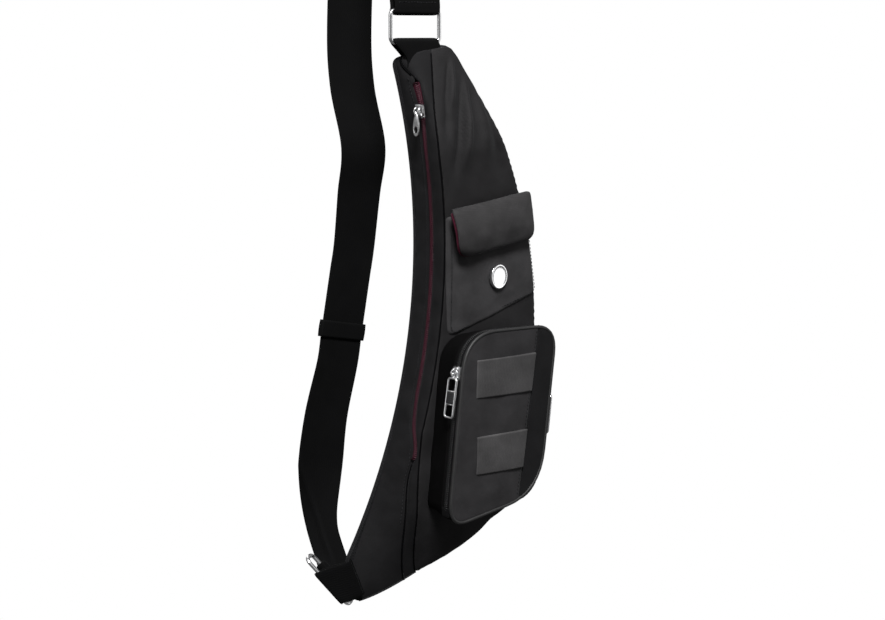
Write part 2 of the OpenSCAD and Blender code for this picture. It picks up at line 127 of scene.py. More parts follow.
def depth_at(x, z):
    """Depth of the body's front in front of its back face."""
    top = soft_positive(z - TOP_THINS_FROM) * TOP_SLOPE
    past = TO_TIP[0] * (x - TIP_THINS_FROM[0]) + TO_TIP[1] * (z - TIP_THINS_FROM[1])
    return DEPTH - top - soft_positive(past) * TIP_SLOPE


# ---------- curves in a plane ----------

def bezier(points, count):
    p = [np.asarray(q, float) for q in points]
    t = np.linspace(0, 1, count + 1)[:, None]
    s = 1 - t
    return s**3 * p[0] + 3 * s * s * t * p[1] + 3 * s * t * t * p[2] + t**3 * p[3]


def bottom_edge(count=60):
    """Bottom edge of the body from the tip to the lower right."""
    return bezier([TIP, (-72, -224), (-30, -204), BOTTOM_RIGHT], count)


def lengths(points):
    steps = np.linalg.norm(np.diff(points, axis=0), axis=1)
    return np.concatenate([[0], np.cumsum(steps)])


def at_lengths(points, wanted):
    run = lengths(points)
    return np.stack([np.interp(wanted, run, points[:, k]) for k in range(points.shape[1])], 1)


def resample(points, shares):
    points = np.asarray(points, float)
    return at_lengths(points, np.asarray(shares) * lengths(points)[-1])


def even(count):
    return np.linspace(0, 1, count)


def dense_ends(count, amount=0.75):
    """Shares from 0 to 1 that lie closer together near both ends."""
    t = even(count)
    return (1 - amount) * t + amount * (0.5 - 0.5 * np.cos(math.pi * t))


def turns(count):
    """Angles spaced evenly once round a circle."""
    return np.linspace(0, 2 * math.pi, count, endpoint=False)


def directions(path, closed=False):
    """Unit vectors along a path."""
    if closed:
        return unit(np.roll(path, -1, 0) - np.roll(path, 1, 0))
    return unit(np.gradient(path, axis=0))


def value_at(values, run, at):
    """Value at one length along a path, between the values of its points."""
    return np.array([np.interp(at, run, column) for column in values.T])


def outline_of(sides):
    """The closed path made by sides that follow each other."""
    return np.concatenate([side[:-1] for side in sides] + [sides[0][:1]])


def rounded_sides(segments, radii, steps=8):
    """Sides of a closed outline. radii[i] rounds the corner where segments[i] starts, and each
    side runs from the middle of one corner to the middle of the next."""
    count = len(segments)
    arcs = []
    for i in range(count):
        before, after, r = segments[i - 1], segments[i], radii[i]
        total = lengths(before)[-1]
        a = at_lengths(before, [total - r])[0]
        b = at_lengths(after, [r])[0]
        corner = after[0]
        t = np.linspace(0, 1, steps + 1)[:, None]
        arcs.append((1 - t) ** 2 * a + 2 * t * (1 - t) * corner + t * t * b)
    sides = []
    for i in range(count):
        seg, r0, r1 = segments[i], radii[i], radii[(i + 1) % count]
        total = lengths(seg)[-1]
        run = lengths(seg)
        inner = seg[(run > r0 + 0.01) & (run < total - r1 - 0.01)]
        half = steps // 2
        sides.append(np.concatenate([arcs[i][half:], inner, arcs[(i + 1) % count][:half + 1]]))
    return sides


def straight(a, b, count=24):
    return np.asarray(a, float) + (np.asarray(b, float) - np.asarray(a, float)) * even(count)[:, None]


def quad_sides(corners, radii):
    """Sides of a rounded quadrilateral given as top left, top right, low right, low left."""
    segments = [straight(corners[i], corners[(i + 1) % 4]) for i in range(4)]
    return rounded_sides(segments, radii)


def coons(sides, across, down):
    """Grid of points inside four sides that run top, right, bottom and left round the outline."""
    top = resample(sides[0], across)
    right = resample(sides[1], down)
    bottom = resample(sides[2][::-1], across)
    left = resample(sides[3][::-1], down)
    u = np.asarray(across)[None, :, None]
    v = np.asarray(down)[:, None, None]
    ruled = (1 - v) * top[None] + v * bottom[None] + (1 - u) * left[:, None] + u * right[:, None]
    corners = ((1 - u) * (1 - v) * top[0] + u * (1 - v) * top[-1]
               + (1 - u) * v * bottom[0] + u * v * bottom[-1])
    return ruled - corners


def distance_to(points, outline):
    """Distance of each point of a grid to the nearest point of an outline."""
    dense = at_lengths(outline, np.linspace(0, lengths(outline)[-1], 500))
    flat = points.reshape(-1, points.shape[-1])
    gaps = np.linalg.norm(flat[:, None] - dense[None], axis=2).min(1)
    return gaps.reshape(points.shape[:-1])


def quarter(share):
    """Rises steeply from 0 and levels off at 1, as the rounded edge of a pad does."""
    s = np.clip(share, 0, 1)
    return np.sqrt(1 - (1 - s) ** 2)


def smoothstep(share):
    s = np.clip(share, 0, 1)
    return s * s * (3 - 2 * s)


def lift(grid, y):
    """Grid of X and Z with a Y for each point."""
    return np.stack([grid[..., 0], np.broadcast_to(y, grid.shape[:-1]), grid[..., 1]], -1)


def rumple(points, size, height, *seed):
    """Uneven small swells of soft cloth, one value for each point."""
    offset = Vector((*seed, 0, 0)[:3])
    flat = points.reshape(-1, 3) / size
    values = [noise.fractal(Vector(p) + offset, 0.9, 2.1, 3) for p in flat]
    return height * np.array(values).reshape(points.shape[:-1])


# ---------- meshes ----------

class Shape:
    """Collects faces in millimetres and turns them into one named mesh."""

    def __init__(self):
        self.points = []
        self.faces = []
        self.uvs = []

    def grid(self, rows, close_across=False, close_along=False, uv=None):
        rows = np.asarray(rows, float)
        n, m = rows.shape[:2]
        start = len(self.points)
        self.points.extend(rows.reshape(-1, 3))
        if uv is None:
            uv = np.stack(np.meshgrid(lengths(rows[n // 2]), lengths(rows.mean(1))), -1)
        for i in range(n if close_along else n - 1):
            for j in range(m if close_across else m - 1):
                below, beside = (i + 1) % n, (j + 1) % m
                ring = [(i, j), (i, beside), (below, beside), (below, j)]
                self.faces.append([start + p * m + q for p, q in ring])
                self.uvs.append([uv[p][q] * MM for p, q in ring])

    def plain_faces(self, rings):
        """Faces too small or hidden for their cloth to need a direction."""
        self.faces.extend(rings)
        self.uvs.extend([(0, 0)] * len(ring) for ring in rings)

    def cap(self, ring):
        start = len(self.points)
        self.points.extend(np.asarray(ring, float))
        self.plain_faces([list(range(start, start + len(ring)))])

    def slab(self, front, back):
        """A closed solid between two grids of the same size."""
        front, back = np.asarray(front, float), np.asarray(back, float)
        self.grid(front)
        self.grid(back)
        for edge in (np.s_[0], np.s_[-1, ::-1], np.s_[:, -1], np.s_[::-1, 0]):
            self.grid([back[edge], front[edge]])

    def solid(self, rings):
        """A closed solid through rings of points, with both ends capped."""
        self.grid(rings, close_across=True)
        self.cap(rings[0])
        self.cap(rings[-1])

    def sleeve(self, outer, inner):
        """A ring of wall between an outer and an inner row of rings."""
        for rings in (outer, inner, [outer[0], inner[0]], [outer[-1], inner[-1]]):
            self.grid(rings, close_across=True)

    def tube(self, path, radius, sides=10, closed=False, up=(0, 1, 0)):
        path = np.asarray(path, float)
        along = directions(path, closed)
        radii = np.broadcast_to(radius, (len(path),))
        side = np.cross(along[0], up)
        if np.linalg.norm(side) < 1e-6:
            side = np.cross(along[0], (1, 0, 0.3))
        rings = []
        for p, t, r in zip(path, along, radii):
            side = unit(side - t * (side @ t))
            other = np.cross(side, t)
            rings.append([p + r * (math.cos(a) * side + math.sin(a) * other) for a in turns(sides)])
        if closed:
            self.grid(rings, close_across=True, close_along=True)
        else:
            self.solid(rings)

    def lathe(self, profile, centre, axis, sides):
        """Turns a profile of (radius, height) round an axis."""
        axis = unit(axis)
        side = unit(np.cross(axis, (0.31, 0.2, 0.93)))
        other = np.cross(axis, side)
        self.solid([[centre + axis * h + r * (math.cos(a) * side + math.sin(a) * other)
                     for a in turns(sides)] for r, h in profile])

    def block(self, low, high, place, bevel):
        """A box whose edges and corners are cut back by a small bevel."""
        low, high = np.asarray(low, float), np.asarray(high, float)
        middle, half = (low + high) / 2, (high - low) / 2
        corners = list(product((-1, 1), repeat=3))
        start = len(self.points)
        for signs, axis in product(corners, range(3)):
            cut = np.minimum(bevel, half * 0.9)
            cut[axis] = 0
            self.points.append(place(middle + np.array(signs) * (half - cut)))

        def point(axis, along, u, w, face):
            signs = np.roll((along, u, w), axis)
            return start + 3 * corners.index(tuple(signs)) + face % 3

        rings = [[start + 3 * k, start + 3 * k + 1, start + 3 * k + 2] for k in range(8)]
        for axis in range(3):
            for along in (-1, 1):
                rings.append([point(axis, along, u, w, axis)
                              for u, w in ((-1, -1), (1, -1), (1, 1), (-1, 1))])
            for u, w in product((-1, 1), repeat=2):
                rings.append([point(axis, along, u, w, axis + face)
                              for along, face in ((-1, 1), (1, 1), (1, 2), (-1, 2))])
        self.plain_faces(rings)

    def build(self, name, material):
        mesh = bpy.data.meshes.new(name)
        mesh.from_pydata([tuple(np.asarray(p) * MM) for p in self.points], [], self.faces)
        layer = mesh.uv_layers.new(name="Lengths")
        layer.data.foreach_set("uv", [c for face in self.uvs for corner in face for c in corner])
        mesh.polygons.foreach_set("use_smooth", [True] * len(mesh.polygons))
        mesh.materials.append(material)
        made = bpy.data.objects.new(name, mesh)
        bpy.context.scene.collection.objects.link(made)
        weld(made)
        return made

    def piece(self, name, material, body, slot, *nodes):
        """Builds a piece that rides on a body and stands for CAD nodes."""
        made = self.build(name, material)
        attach(made, body)
        if nodes:
            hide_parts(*nodes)
        return made

    def blended_piece(self, name, material, bodies, start, end, slot, *nodes):
        """Builds a piece that stays where it is made, in the scene's own frame, and stands for CAD
        nodes. The bodies, start and end are not used.
        """
        made = self.build(name, material)
        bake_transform(made)
        if nodes:
            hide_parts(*nodes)


def sheet(name, material, front, back, body, slot, *nodes):
    """One piece of cloth between a front and a back grid."""
    shape = Shape()
    shape.slab(front, back)
    return shape.piece(name, material, body, slot, *nodes)


def weld(piece, gap=0.00001):
    """Joins points that lie on each other and turns all faces outwards."""
    bm = bmesh.new()
    bm.from_mesh(piece.data)
    bmesh.ops.remove_doubles(bm, verts=bm.verts, dist=gap)
    bmesh.ops.recalc_face_normals(bm, faces=bm.faces)
    bm.to_mesh(piece.data)
    bm.free()


def subdivide(piece):
    modifier = piece.modifiers.new("Subdivide", "SUBSURF")
    modifier.levels = 1
    modifier.render_levels = 1


def bevelled(piece):
    modifier = piece.modifiers.new("Bevel", "BEVEL")
    modifier.width = 0.2 * MM
    modifier.segments = 3
    modifier.limit_method = "ANGLE"
    modifier.angle_limit = math.radians(35)


# ---------- materials ----------

class Nodes:
    """Short way to write a material's node tree."""

    def __init__(self, name):
        self.material = bpy.data.materials.new(name)
        self.material.use_nodes = True
        self.tree = self.material.node_tree
        self.tree.nodes.clear()
        self.shader = self.add("ShaderNodeBsdfPrincipled")
        self.output = self.add("ShaderNodeOutputMaterial")
        self.link(self.shader.outputs[0], self.output.inputs[0])

    def add(self, kind, **settings):
        node = self.tree.nodes.new(kind)
        for key, value in settings.items():
            setattr(node, key, value)
        return node

    def link(self, a, b):
        self.tree.links.new(a, b)

    def feed(self, node, index, value):
        if isinstance(value, bpy.types.NodeSocket):
            self.link(value, node.inputs[index])
        else:
            node.inputs[index].default_value = value

    def math(self, operation, a, b=0.0, c=0.0):
        node = self.add("ShaderNodeMath", operation=operation)
        for index, value in enumerate((a, b, c)):
            self.feed(node, index, value)
        return node.outputs[0]

    def noise(self, where, scale, detail=3.0, roughness=0.55):
        node = self.add("ShaderNodeTexNoise")
        self.link(where, node.inputs["Vector"])
        node.inputs["Scale"].default_value = scale
        node.inputs["Detail"].default_value = detail
        node.inputs["Roughness"].default_value = roughness
        return node.outputs[0]

    def range(self, value, a, b, low, high):
        node = self.add("ShaderNodeMapRange")
        for index, v in enumerate((value, a, b, low, high)):
            self.feed(node, index, v)
        return node.outputs[0]

    def tinted(self, colour, brightness):
        node = self.add("ShaderNodeVectorMath", operation="SCALE")
        node.inputs[0].default_value = colour
        self.feed(node, 3, brightness)
        return node.outputs[0]

    def bump(self, height, distance, strength=1.0, below=None):
        node = self.add("ShaderNodeBump")
        node.inputs["Distance"].default_value = distance
        node.inputs["Strength"].default_value = strength
        self.link(height, node.inputs["Height"])
        if below is not None:
            self.link(below, node.inputs["Normal"])
        return node.outputs[0]

    def set(self, **values):
        for key, value in values.items():
            self.feed(self.shader, key.replace("_", " "), value)


def cloth(name, colour, pitch=0.9, relief=0.06, rough=0.72, sheen=0.03, mottle=0.24, worn=0.5,
          swell=0.25, gloss=0.1, webbing=False):
    """Woven cloth. The threads run along the frame's axes, or along a webbing's own length."""
    n = Nodes(name)
    where = n.add("ShaderNodeTexCoord")
    place = where.outputs["Object"]
    split = n.add("ShaderNodeSeparateXYZ")
    n.link(where.outputs["UV"] if webbing else place, split.inputs[0])
    turn = 2 * math.pi / (pitch * MM)
    x = n.math("SINE", n.math("MULTIPLY", split.outputs[0], turn))
    y = n.math("SINE", n.math("MULTIPLY", split.outputs[1], turn))
    z = n.math("SINE", n.math("MULTIPLY", split.outputs[2], turn))
    if webbing:
        slant = n.math("ADD", n.math("MULTIPLY", split.outputs[0], turn),
                       n.math("MULTIPLY", split.outputs[1], turn * 0.55))
        weave = n.math("MULTIPLY", n.math("SINE", slant), y)
        weave = n.math("ADD", n.math("MULTIPLY", weave, 0.6), n.math("MULTIPLY", x, 0.5))
    else:
        weave = n.math("MULTIPLY", n.math("ADD", x, y), z)
    weave = n.range(weave, -1.4, 1.4, 0.0, 1.0)
    fibre = n.noise(place, 2200, 2)
    patch = n.noise(place, 55, 4, 0.6)
    broad = n.noise(place, 14, 2)
    shade = n.math("MULTIPLY", n.range(patch, 0.25, 0.75, 1 - mottle, 1 + mottle),
                   n.range(broad, 0.3, 0.7, 1 - mottle / 2, 1 + mottle / 2))
    shade = n.math("MULTIPLY", shade, n.range(weave, 0, 1, 0.82, 1.14))
    shade = n.math("MULTIPLY", shade, n.range(fibre, 0.3, 0.7, 0.88, 1.12))
    geometry = n.add("ShaderNodeNewGeometry")
    edge = n.range(geometry.outputs["Pointiness"], 0.52, 0.60, 0.0, worn)
    edge = n.math("MULTIPLY", edge, n.range(patch, 0.35, 0.65, 0.4, 1.0))
    shade = n.math("MULTIPLY", shade, n.math("ADD", edge, 1.0))
    height = n.math("ADD", weave, n.math("MULTIPLY", fibre, 0.5))
    soft = n.bump(n.noise(place, 38, 3, 0.5), swell * MM * 4, 0.5)
    n.set(Base_Color=n.tinted(colour, shade),
          Roughness=n.range(patch, 0.3, 0.7, rough - 0.07, rough + 0.07),
          Normal=n.bump(height, relief * MM, 1.0, soft),
          Sheen_Weight=sheen, Sheen_Roughness=0.4, Specular_IOR_Level=gloss)
    n.shader.inputs["Sheen Tint"].default_value = (0.75, 0.77, 0.8, 1)
    return n.material


def metal(name, colour, rough=0.16):
    """Plated metal with fine scratches and duller hollows."""
    n = Nodes(name)
    place = n.add("ShaderNodeTexCoord").outputs["Object"]
    stretch = n.add("ShaderNodeMapping")
    n.link(place, stretch.inputs[0])
    stretch.inputs["Scale"].default_value = (1, 1, 9)
    scratch = n.noise(stretch.outputs[0], 700, 4, 0.7)
    cloudy = n.noise(place, 160, 3)
    geometry = n.add("ShaderNodeNewGeometry")
    hollow = n.range(geometry.outputs["Pointiness"], 0.40, 0.52, 0.55, 1.0)
    n.set(Base_Color=n.tinted(colour, n.math("MULTIPLY", hollow, n.range(cloudy, 0, 1, 0.9, 1.08))),
          Metallic=1.0,
          Roughness=n.range(scratch, 0.3, 0.75, rough, rough + 0.15),
          Normal=n.bump(scratch, 0.01 * MM, 0.5))
    return n.material


def plastic(name, colour, rough, grain=0.03):
    """Moulded plastic or rubber with a fine grain and handling marks."""
    n = Nodes(name)
    place = n.add("ShaderNodeTexCoord").outputs["Object"]
    fine = n.noise(place, 1500, 2)
    marks = n.noise(place, 90, 4, 0.7)
    geometry = n.add("ShaderNodeNewGeometry")
    edge = n.range(geometry.outputs["Pointiness"], 0.52, 0.62, 1.0, 1.5)
    shade = n.math("MULTIPLY", edge, n.range(marks, 0.3, 0.7, 0.85, 1.15))
    n.set(Base_Color=n.tinted(colour, shade),
          Roughness=n.range(marks, 0.3, 0.7, rough - 0.08, rough + 0.12),
          Normal=n.bump(fine, grain * MM, 0.6))
    return n.material


def pale(name):
    """Floor: almost white near the bag, and clear further out."""
    n = Nodes(name)
    place = n.add("ShaderNodeTexCoord").outputs["Object"]
    grain = n.noise(place, 60, 3)
    n.set(Base_Color=n.tinted((0.94, 0.94, 0.94), n.range(grain, 0, 1, 0.985, 1.015)),
          Roughness=0.9)
    distance = n.add("ShaderNodeVectorMath", operation="LENGTH")
    n.link(place, distance.inputs[0])
    clear = n.add("ShaderNodeBsdfTransparent")
    mix = n.add("ShaderNodeMixShader")
    n.link(n.range(distance.outputs["Value"], 0.1, 0.45, 0.6, 1.0), mix.inputs[0])
    n.link(n.shader.outputs[0], mix.inputs[1])
    n.link(clear.outputs[0], mix.inputs[2])
    n.link(mix.outputs[0], n.output.inputs[0])
    return n.material


BODY = cloth("body_fabric", (0.0062, 0.0060, 0.0065), worn=0.9)
# The body cloth made darker: painted shade for the box pocket's side wall, which faces away from the
# lights.
SHADED_SIDE = cloth("pocket_side_shaded_fabric", (0.0020, 0.0019, 0.0020), rough=0.8, gloss=0.03, sheen=0.0)
# Near-black cloth for cords laid in the seam grooves: painted shade along the grooves.
SEAM_SHADE = cloth("seam_shade_cord", (0.0016, 0.0016, 0.0018), gloss=0.02, sheen=0.0)
# Glossy coated cloth of the pocket lid's wall. The gloss is the real coating; its colour, raised above
# the body cloth's, is a painted highlight for the band lit from above.
COATED_PAINTED_HIGHLIGHT = cloth("coated_fabric_painted_highlight", (0.0140, 0.0137, 0.0143), rough=0.36, gloss=0.5, sheen=0.0)
FRONT = cloth("panel_fabric", (0.0100, 0.0096, 0.0101))
LID = cloth("lid_fabric", (0.0208, 0.0200, 0.0210))
POCKET = cloth("pocket_fabric", (0.0262, 0.0254, 0.0264))
FLAP = cloth("flap_fabric", (0.0275, 0.0266, 0.0273))
BURGUNDY = cloth("burgundy_fabric", (0.030, 0.0030, 0.0088), mottle=0.3)
MESH = cloth("back_mesh", (0.0075, 0.0075, 0.0082), pitch=2.4, relief=0.35)
LINING = cloth("pocket_lining", (0.007, 0.007, 0.0075), pitch=0.7)
STRAP = cloth("strap_webbing", (0.0019, 0.0019, 0.0020), pitch=2.0, relief=0.16, webbing=True,
              worn=0.3, rough=0.82, gloss=0.06, sheen=0.015)
BAND = cloth("band_webbing", (0.043, 0.0418, 0.0425), pitch=1.6, relief=0.16, webbing=True)
TAPE = cloth("zip_tape_black", (0.0022, 0.0022, 0.0024), pitch=0.7, sheen=0.0)
HOOKS = cloth("hook_loop", (0.004, 0.004, 0.0045), pitch=0.6, relief=0.3, rough=0.95)
THREAD = cloth("thread", (0.010, 0.010, 0.011), pitch=0.4, relief=0.03)
COIL_RED = plastic("coil_burgundy", (0.030, 0.0028, 0.0088), 0.45)
COIL_BLACK = plastic("coil_black", (0.003, 0.003, 0.0033), 0.45)
PIPING = plastic("piping", (0.007, 0.0069, 0.0072), 0.6, 0.02)
GRIP = plastic("pull_grip", (0.004, 0.004, 0.0045), 0.5, 0.06)
NICKEL = metal("polished_nickel", (0.80, 0.80, 0.81))
STEEL = metal("plain_steel", (0.5, 0.5, 0.51), 0.3)
DARK_STEEL = metal("dark_steel", (0.03, 0.012, 0.016), 0.4)


# ---------- outline of the body ----------

CONVEX_MIDDLE = (66, -20)


def convex_parts():
    """Lower and upper part of the convex side, from the lower right to the top right."""
    low = bezier([BOTTOM_RIGHT, (84, -148), (67, -100), CONVEX_MIDDLE], 60)
    high = bezier([CONVEX_MIDDLE, (68, 66), (37, 132), TOP_RIGHT], 80)
    return low, high


def body_segments():
    """Concave side, end seam, convex side and top edge, going round from the top left."""
    arc = np.array([arc_point(a) for a in np.linspace(TOP_ANGLE, TIP_ANGLE, 160)])
    low, high = convex_parts()
    convex = np.concatenate([bottom_edge(), low[1:], high[1:]])
    return [arc, straight(arc[-1], TIP), convex, straight(TOP_RIGHT, arc[0], 40)]


def front_left_parts():
    """Left side of the front panel: from the top edge to the arc, along it, and the wing."""
    arc = np.array([arc_point(a) for a in np.linspace(SEAM_LEAVES, WING_ANGLE, 100)])
    upper = bezier([SEAM_TOP_END, (-30, 186), (-40, 155), arc[0]], 40)
    wing = bezier([arc[-1], (-58, -115), (-66, -165), bottom_edge(2)[1]], 50)
    return upper, arc, wing


def front_segments():
    """The same round the front panel, whose left side leaves the arc at both ends."""
    upper, arc, wing = front_left_parts()
    low, high = convex_parts()
    split = 20
    left = np.concatenate([upper[:-1], arc, wing[1:]])
    bottom = np.concatenate([bottom_edge()[30:], low[1:split + 1]])
    right = np.concatenate([low[split:], high[1:]])
    return [left, bottom, right, straight(TOP_RIGHT, left[0], 40)]


TOP_LEFT_ROUND = 7
TOP_RIGHT_ROUND = 8
BODY_SIDES = rounded_sides(body_segments(), [TOP_LEFT_ROUND, 4, 7, TOP_RIGHT_ROUND])
FRONT_SIDES = rounded_sides(front_segments(), [1, 4, 0.5, TOP_RIGHT_ROUND])
BACK_Y = -1.2


def seam_y(xz):
    """Y of the front seam, which lies behind the crown of the front panel."""
    return -(depth_at(xz[..., 0], xz[..., 1]) - EDGE_DROP)


def with_seam_y(xz):
    return lift(xz, seam_y(xz))


# ---------- body ----------

def crease(x, z, start, end, width, height):
    """Height of a soft fold that runs from start to end and fades at both."""
    a, b = np.asarray(start, float), np.asarray(end, float)
    d = b - a
    size = np.linalg.norm(d)
    along = ((x - a[0]) * d[0] + (z - a[1]) * d[1]) / size
    across = ((x - a[0]) * d[1] - (z - a[1]) * d[0]) / size
    share = np.clip(along / size, 0, 1)
    reach = np.sin(math.pi * np.clip((along + width) / (size + 2 * width), 0, 1))
    return height * reach * np.exp(-(across / (width * (0.6 + 0.8 * share))) ** 2)


# Folds of the front panel above the flap: start and end in X and Z, half width and height.
FRONT_CREASES = [
    ((-7, 208), (-24, 160), 3.0, 4.6),
    ((3, 196), (-15, 118), 3.8, 5.6),
    ((-13, 204), (-30, 142), 2.6, -3.4),
    ((-4, 188), (-24, 108), 3.4, -5.2),
    ((14, 182), (8, 116), 6.0, 3.6),
    ((22, 152), (30, 106), 6.0, -2.4),
]


def front_surface(grid):
    """Y of the crowned front panel over a grid of X and Z."""
    outline = outline_of(FRONT_SIDES)
    d = distance_to(grid, outline)
    x, z = grid[..., 0], grid[..., 1]
    crown = EDGE_DROP * (0.65 * quarter(d / 8) + 0.35 * smoothstep(d / 34))
    folds = sum(crease(x, z, *c) for c in FRONT_CREASES) * smoothstep(d / 8)
    y = seam_y(grid) - crown
    swell = rumple(lift(grid, 0), 34, 1.3, 3.0) * smoothstep(d / 10)
    return y - folds - swell


def make_front_panel():
    sides = [side[::-1] for side in reversed(FRONT_SIDES)]
    grid = coons(sides, dense_ends(46), dense_ends(150, 0.4))
    front = front_surface(grid)
    back = np.maximum(front + 1.0, seam_y(grid) + 0.2)
    sheet("front_panel_cloth", FRONT, lift(grid, front), lift(grid, back),
          "bag", "panel_fabric", "front_panel")


def wall_frame(count):
    """Back edge and front edge of the concave wall at rows from top to tip."""
    rows = dense_ends(count, 0.3)
    back = resample(BODY_SIDES[0], rows)
    angle = np.degrees(np.arctan2(back[:, 1] - ZIP_PIVOT[2], back[:, 0] - ZIP_PIVOT[0]))
    angle = np.minimum(angle, TOP_ANGLE)
    upper, _, wing = front_left_parts()
    front = np.array([arc_point(a) for a in angle])
    rise = np.clip((angle - SEAM_LEAVES) / (angle[0] - SEAM_LEAVES), 0, 1)
    sink = np.clip((WING_ANGLE - angle) / (WING_ANGLE - angle[-1]), 0, 1)
    above, below = angle > SEAM_LEAVES, angle < WING_ANGLE
    front[above] = resample(upper[::-1], rise[above])
    front[below] = resample(wing, sink[below])
    return rows, angle, lift(back, BACK_Y), with_seam_y(front)


BOTTOM_TURN = 0.35                  # share of the wall's lower edge that is the end seam


def wall_bottom(shares):
    """Lower edge of the concave wall: the end seam, then the bottom edge up to the wing's end."""
    start = np.array([BODY_SIDES[0][-1][0], BACK_Y - 1, BODY_SIDES[0][-1][1]])
    edge = bottom_edge()[:31]
    edge = lift(edge, np.linspace(-8, with_seam_y(edge[-1:])[0, 1], len(edge)))
    edge[0] += (1, 0, 1)
    points = []
    for v in shares:
        if v < BOTTOM_TURN:
            points.append(start + (edge[0] - start) * v / BOTTOM_TURN)
        else:
            points.append(resample(edge, [(v - BOTTOM_TURN) / (1 - BOTTOM_TURN)])[0])
    return np.array(points)


ZIP_HALF = 2.0
ZIP_TOP = 14.9
ZIP_LOW = -20.6


def wall_seam_share(angle, turned):
    """Where across the wall the zip's line runs, as a share of the way to the front."""
    share = (ZIP_LINE + BACK_Y) / (DEPTH - EDGE_DROP) * (1 - turned) + 0.50 * turned
    lower = np.clip((angle + 14.5) / (TIP_ANGLE + 14.5), 0, 1) ** 0.85
    bend = 0.17 * np.exp(-((angle + 19.7) / 2.0) ** 2)
    upper = 0.26 * smoothstep((angle - ZIP_TOP + 0.2) / 2.2)
    return share * (1 - lower) + 0.86 * lower + bend - upper


class Wall:
    """The concave side: a sheet from the back arc to the front seam, with the zip's line in it."""

    def __init__(self, count=200):
        self.rows, self.angle, self.back, self.front = wall_frame(count)
        self.depth = self.back[:, 1] - self.front[:, 1]
        self.outward = -unit((self.back - ZIP_PIVOT) * (1, 0, 1))
        aside = np.linalg.norm((self.front - ZIP_PIVOT)[:, [0, 2]], axis=1) - ARC_RADIUS
        turned = smoothstep(aside / 14) * (self.angle > 0)
        self.seam = np.clip(wall_seam_share(self.angle, turned), 0.05, 0.95)
        # Where the front seam lies beside the arc, the wall turns a soft corner to reach it.
        height = self.back[:, 2] + (self.front[:, 2] - self.back[:, 2]) * 0.8
        corner = np.stack([self.back[:, 0], self.front[:, 1], height], 1)
        middle = (self.back + self.front) / 2
        self.control = middle + (corner - middle) * (turned * 0.92)[:, None]

    def point(self, i, v):
        """Points of row i at shares v of the way to the front."""
        v = np.asarray(v, float)
        s = v[:, None]
        p = (1 - s) ** 2 * self.back[i] + 2 * s * (1 - s) * self.control[i] + s * s * self.front[i]
        low = smoothstep((self.rows[i] - 0.80) / 0.20)
        if low > 0:
            straight_across = self.back[-1] + (self.front[-1] - self.back[-1]) * s
            p = p + (wall_bottom(v) - straight_across) * low ** 1.5
        return p

    def seam_line(self, rows, beside=0.0):
        """The zip's line through some rows, or the line beside it by a share of the depth."""
        return np.array([self.point(i, [self.seam[i] + beside])[0] for i in rows])

    def rows_between(self, low, high):
        return [i for i, a in enumerate(self.angle) if low <= a <= high]


WALL = Wall()


def zip_half_share(i):
    """Half width of the zip's opening in row i, which closes beyond the zip's ends."""
    a = WALL.angle[i]
    open_share = smoothstep((ZIP_TOP + 0.4 - a) / 0.8) * smoothstep((a - ZIP_LOW + 0.4) / 0.8)
    return (ZIP_HALF * open_share - 0.1) / max(WALL.depth[i], 10)


def wall_strip(front_side, across=14):
    """Cloth of the wall behind or in front of the zip, as an outer and an inner grid."""
    shares = dense_ends(across)
    roll = 3.8 if front_side else 2.6
    outer, inner = [], []
    for i, normal in enumerate(WALL.outward):
        half = zip_half_share(i)
        start, end = (WALL.seam[i] + half, 1) if front_side else (0, WALL.seam[i] - half)
        p = WALL.point(i, start + (end - start) * shares)
        edge = np.minimum(shares, 1 - shares) * max(WALL.depth[i] * (end - start), 1)
        raised = roll * quarter(edge / 8.0) - 1.7
        swell = rumple(p, 19, 1.1, 9) * np.clip(edge / 5, 0, 1)
        outer.append(p + normal * (raised + swell)[:, None])
        inner.append(p - normal)
    return outer, inner


def make_side_strips():
    for front_side, which in ((False, "back"), (True, "front")):
        sheet("side_cloth_" + which, BODY, *wall_strip(front_side),
              "bag", "body_fabric", "gusset_" + which + "_strip")


def gusset_rows(count=260):
    """Back and front edge of the convex side, from the top left round to the end seam."""
    front_path = np.concatenate([FRONT_SIDES[3][::-1], FRONT_SIDES[2][::-1][1:],
                                 FRONT_SIDES[1][::-1][1:]])
    back_path = np.concatenate([BODY_SIDES[3][::-1], BODY_SIDES[2][::-1][1:]])
    # The front path ends at the wing's end, and the wall's lower edge carries on to the tip.
    rest = wall_bottom(np.linspace(1, BOTTOM_TURN, 30))[1:]
    corner = WALL.point(0, np.linspace(0.12, 1, 24))[:-1]
    front = resample(np.concatenate([corner, with_seam_y(front_path), rest]), even(count))
    dense = resample(back_path, even(3000))
    back = []
    nearest = 0
    for p in front:
        gaps = np.linalg.norm(dense[nearest:nearest + 400] - p[[0, 2]], axis=1)
        nearest += int(gaps.argmin())
        back.append(dense[nearest])
    return lift(np.array(back), BACK_Y), front


def make_gusset():
    back, front = gusset_rows()
    along = directions(back[:, [0, 2]])
    normals = np.stack([-along[:, 1], np.zeros(len(along)), along[:, 0]], 1)
    if normals[len(normals) // 3, 0] < 0:
        normals = -normals
    v = dense_ends(16)
    outer, inner = [], []
    for a, b, normal in zip(back, front, normals):
        p = a + (b - a) * v[:, None]
        depth = abs(b[1] - a[1])
        edge = np.minimum(v, 1 - v) * depth
        bulge = 0.05 * depth * np.sin(math.pi * v) + 1.5 * quarter(edge / 4) - 0.7
        swell = rumple(p, 30, 0.9, 4, 7) * np.clip(edge / 6, 0, 1)
        outer.append(p + normal * (bulge + swell)[:, None])
        inner.append(p - normal)
    sheet("convex_side_cloth", BODY, outer, inner, "bag", "body_fabric", "convex_gusset")


def back_sides():
    """Sides of the body's outline as top, right, bottom and left, with the convex side split."""
    split = 110
    concave, end, convex, top = BODY_SIDES
    lower = np.concatenate([end, convex[1:split]])
    return [top[::-1], convex[split - 1:][::-1], lower[::-1], concave[::-1]]


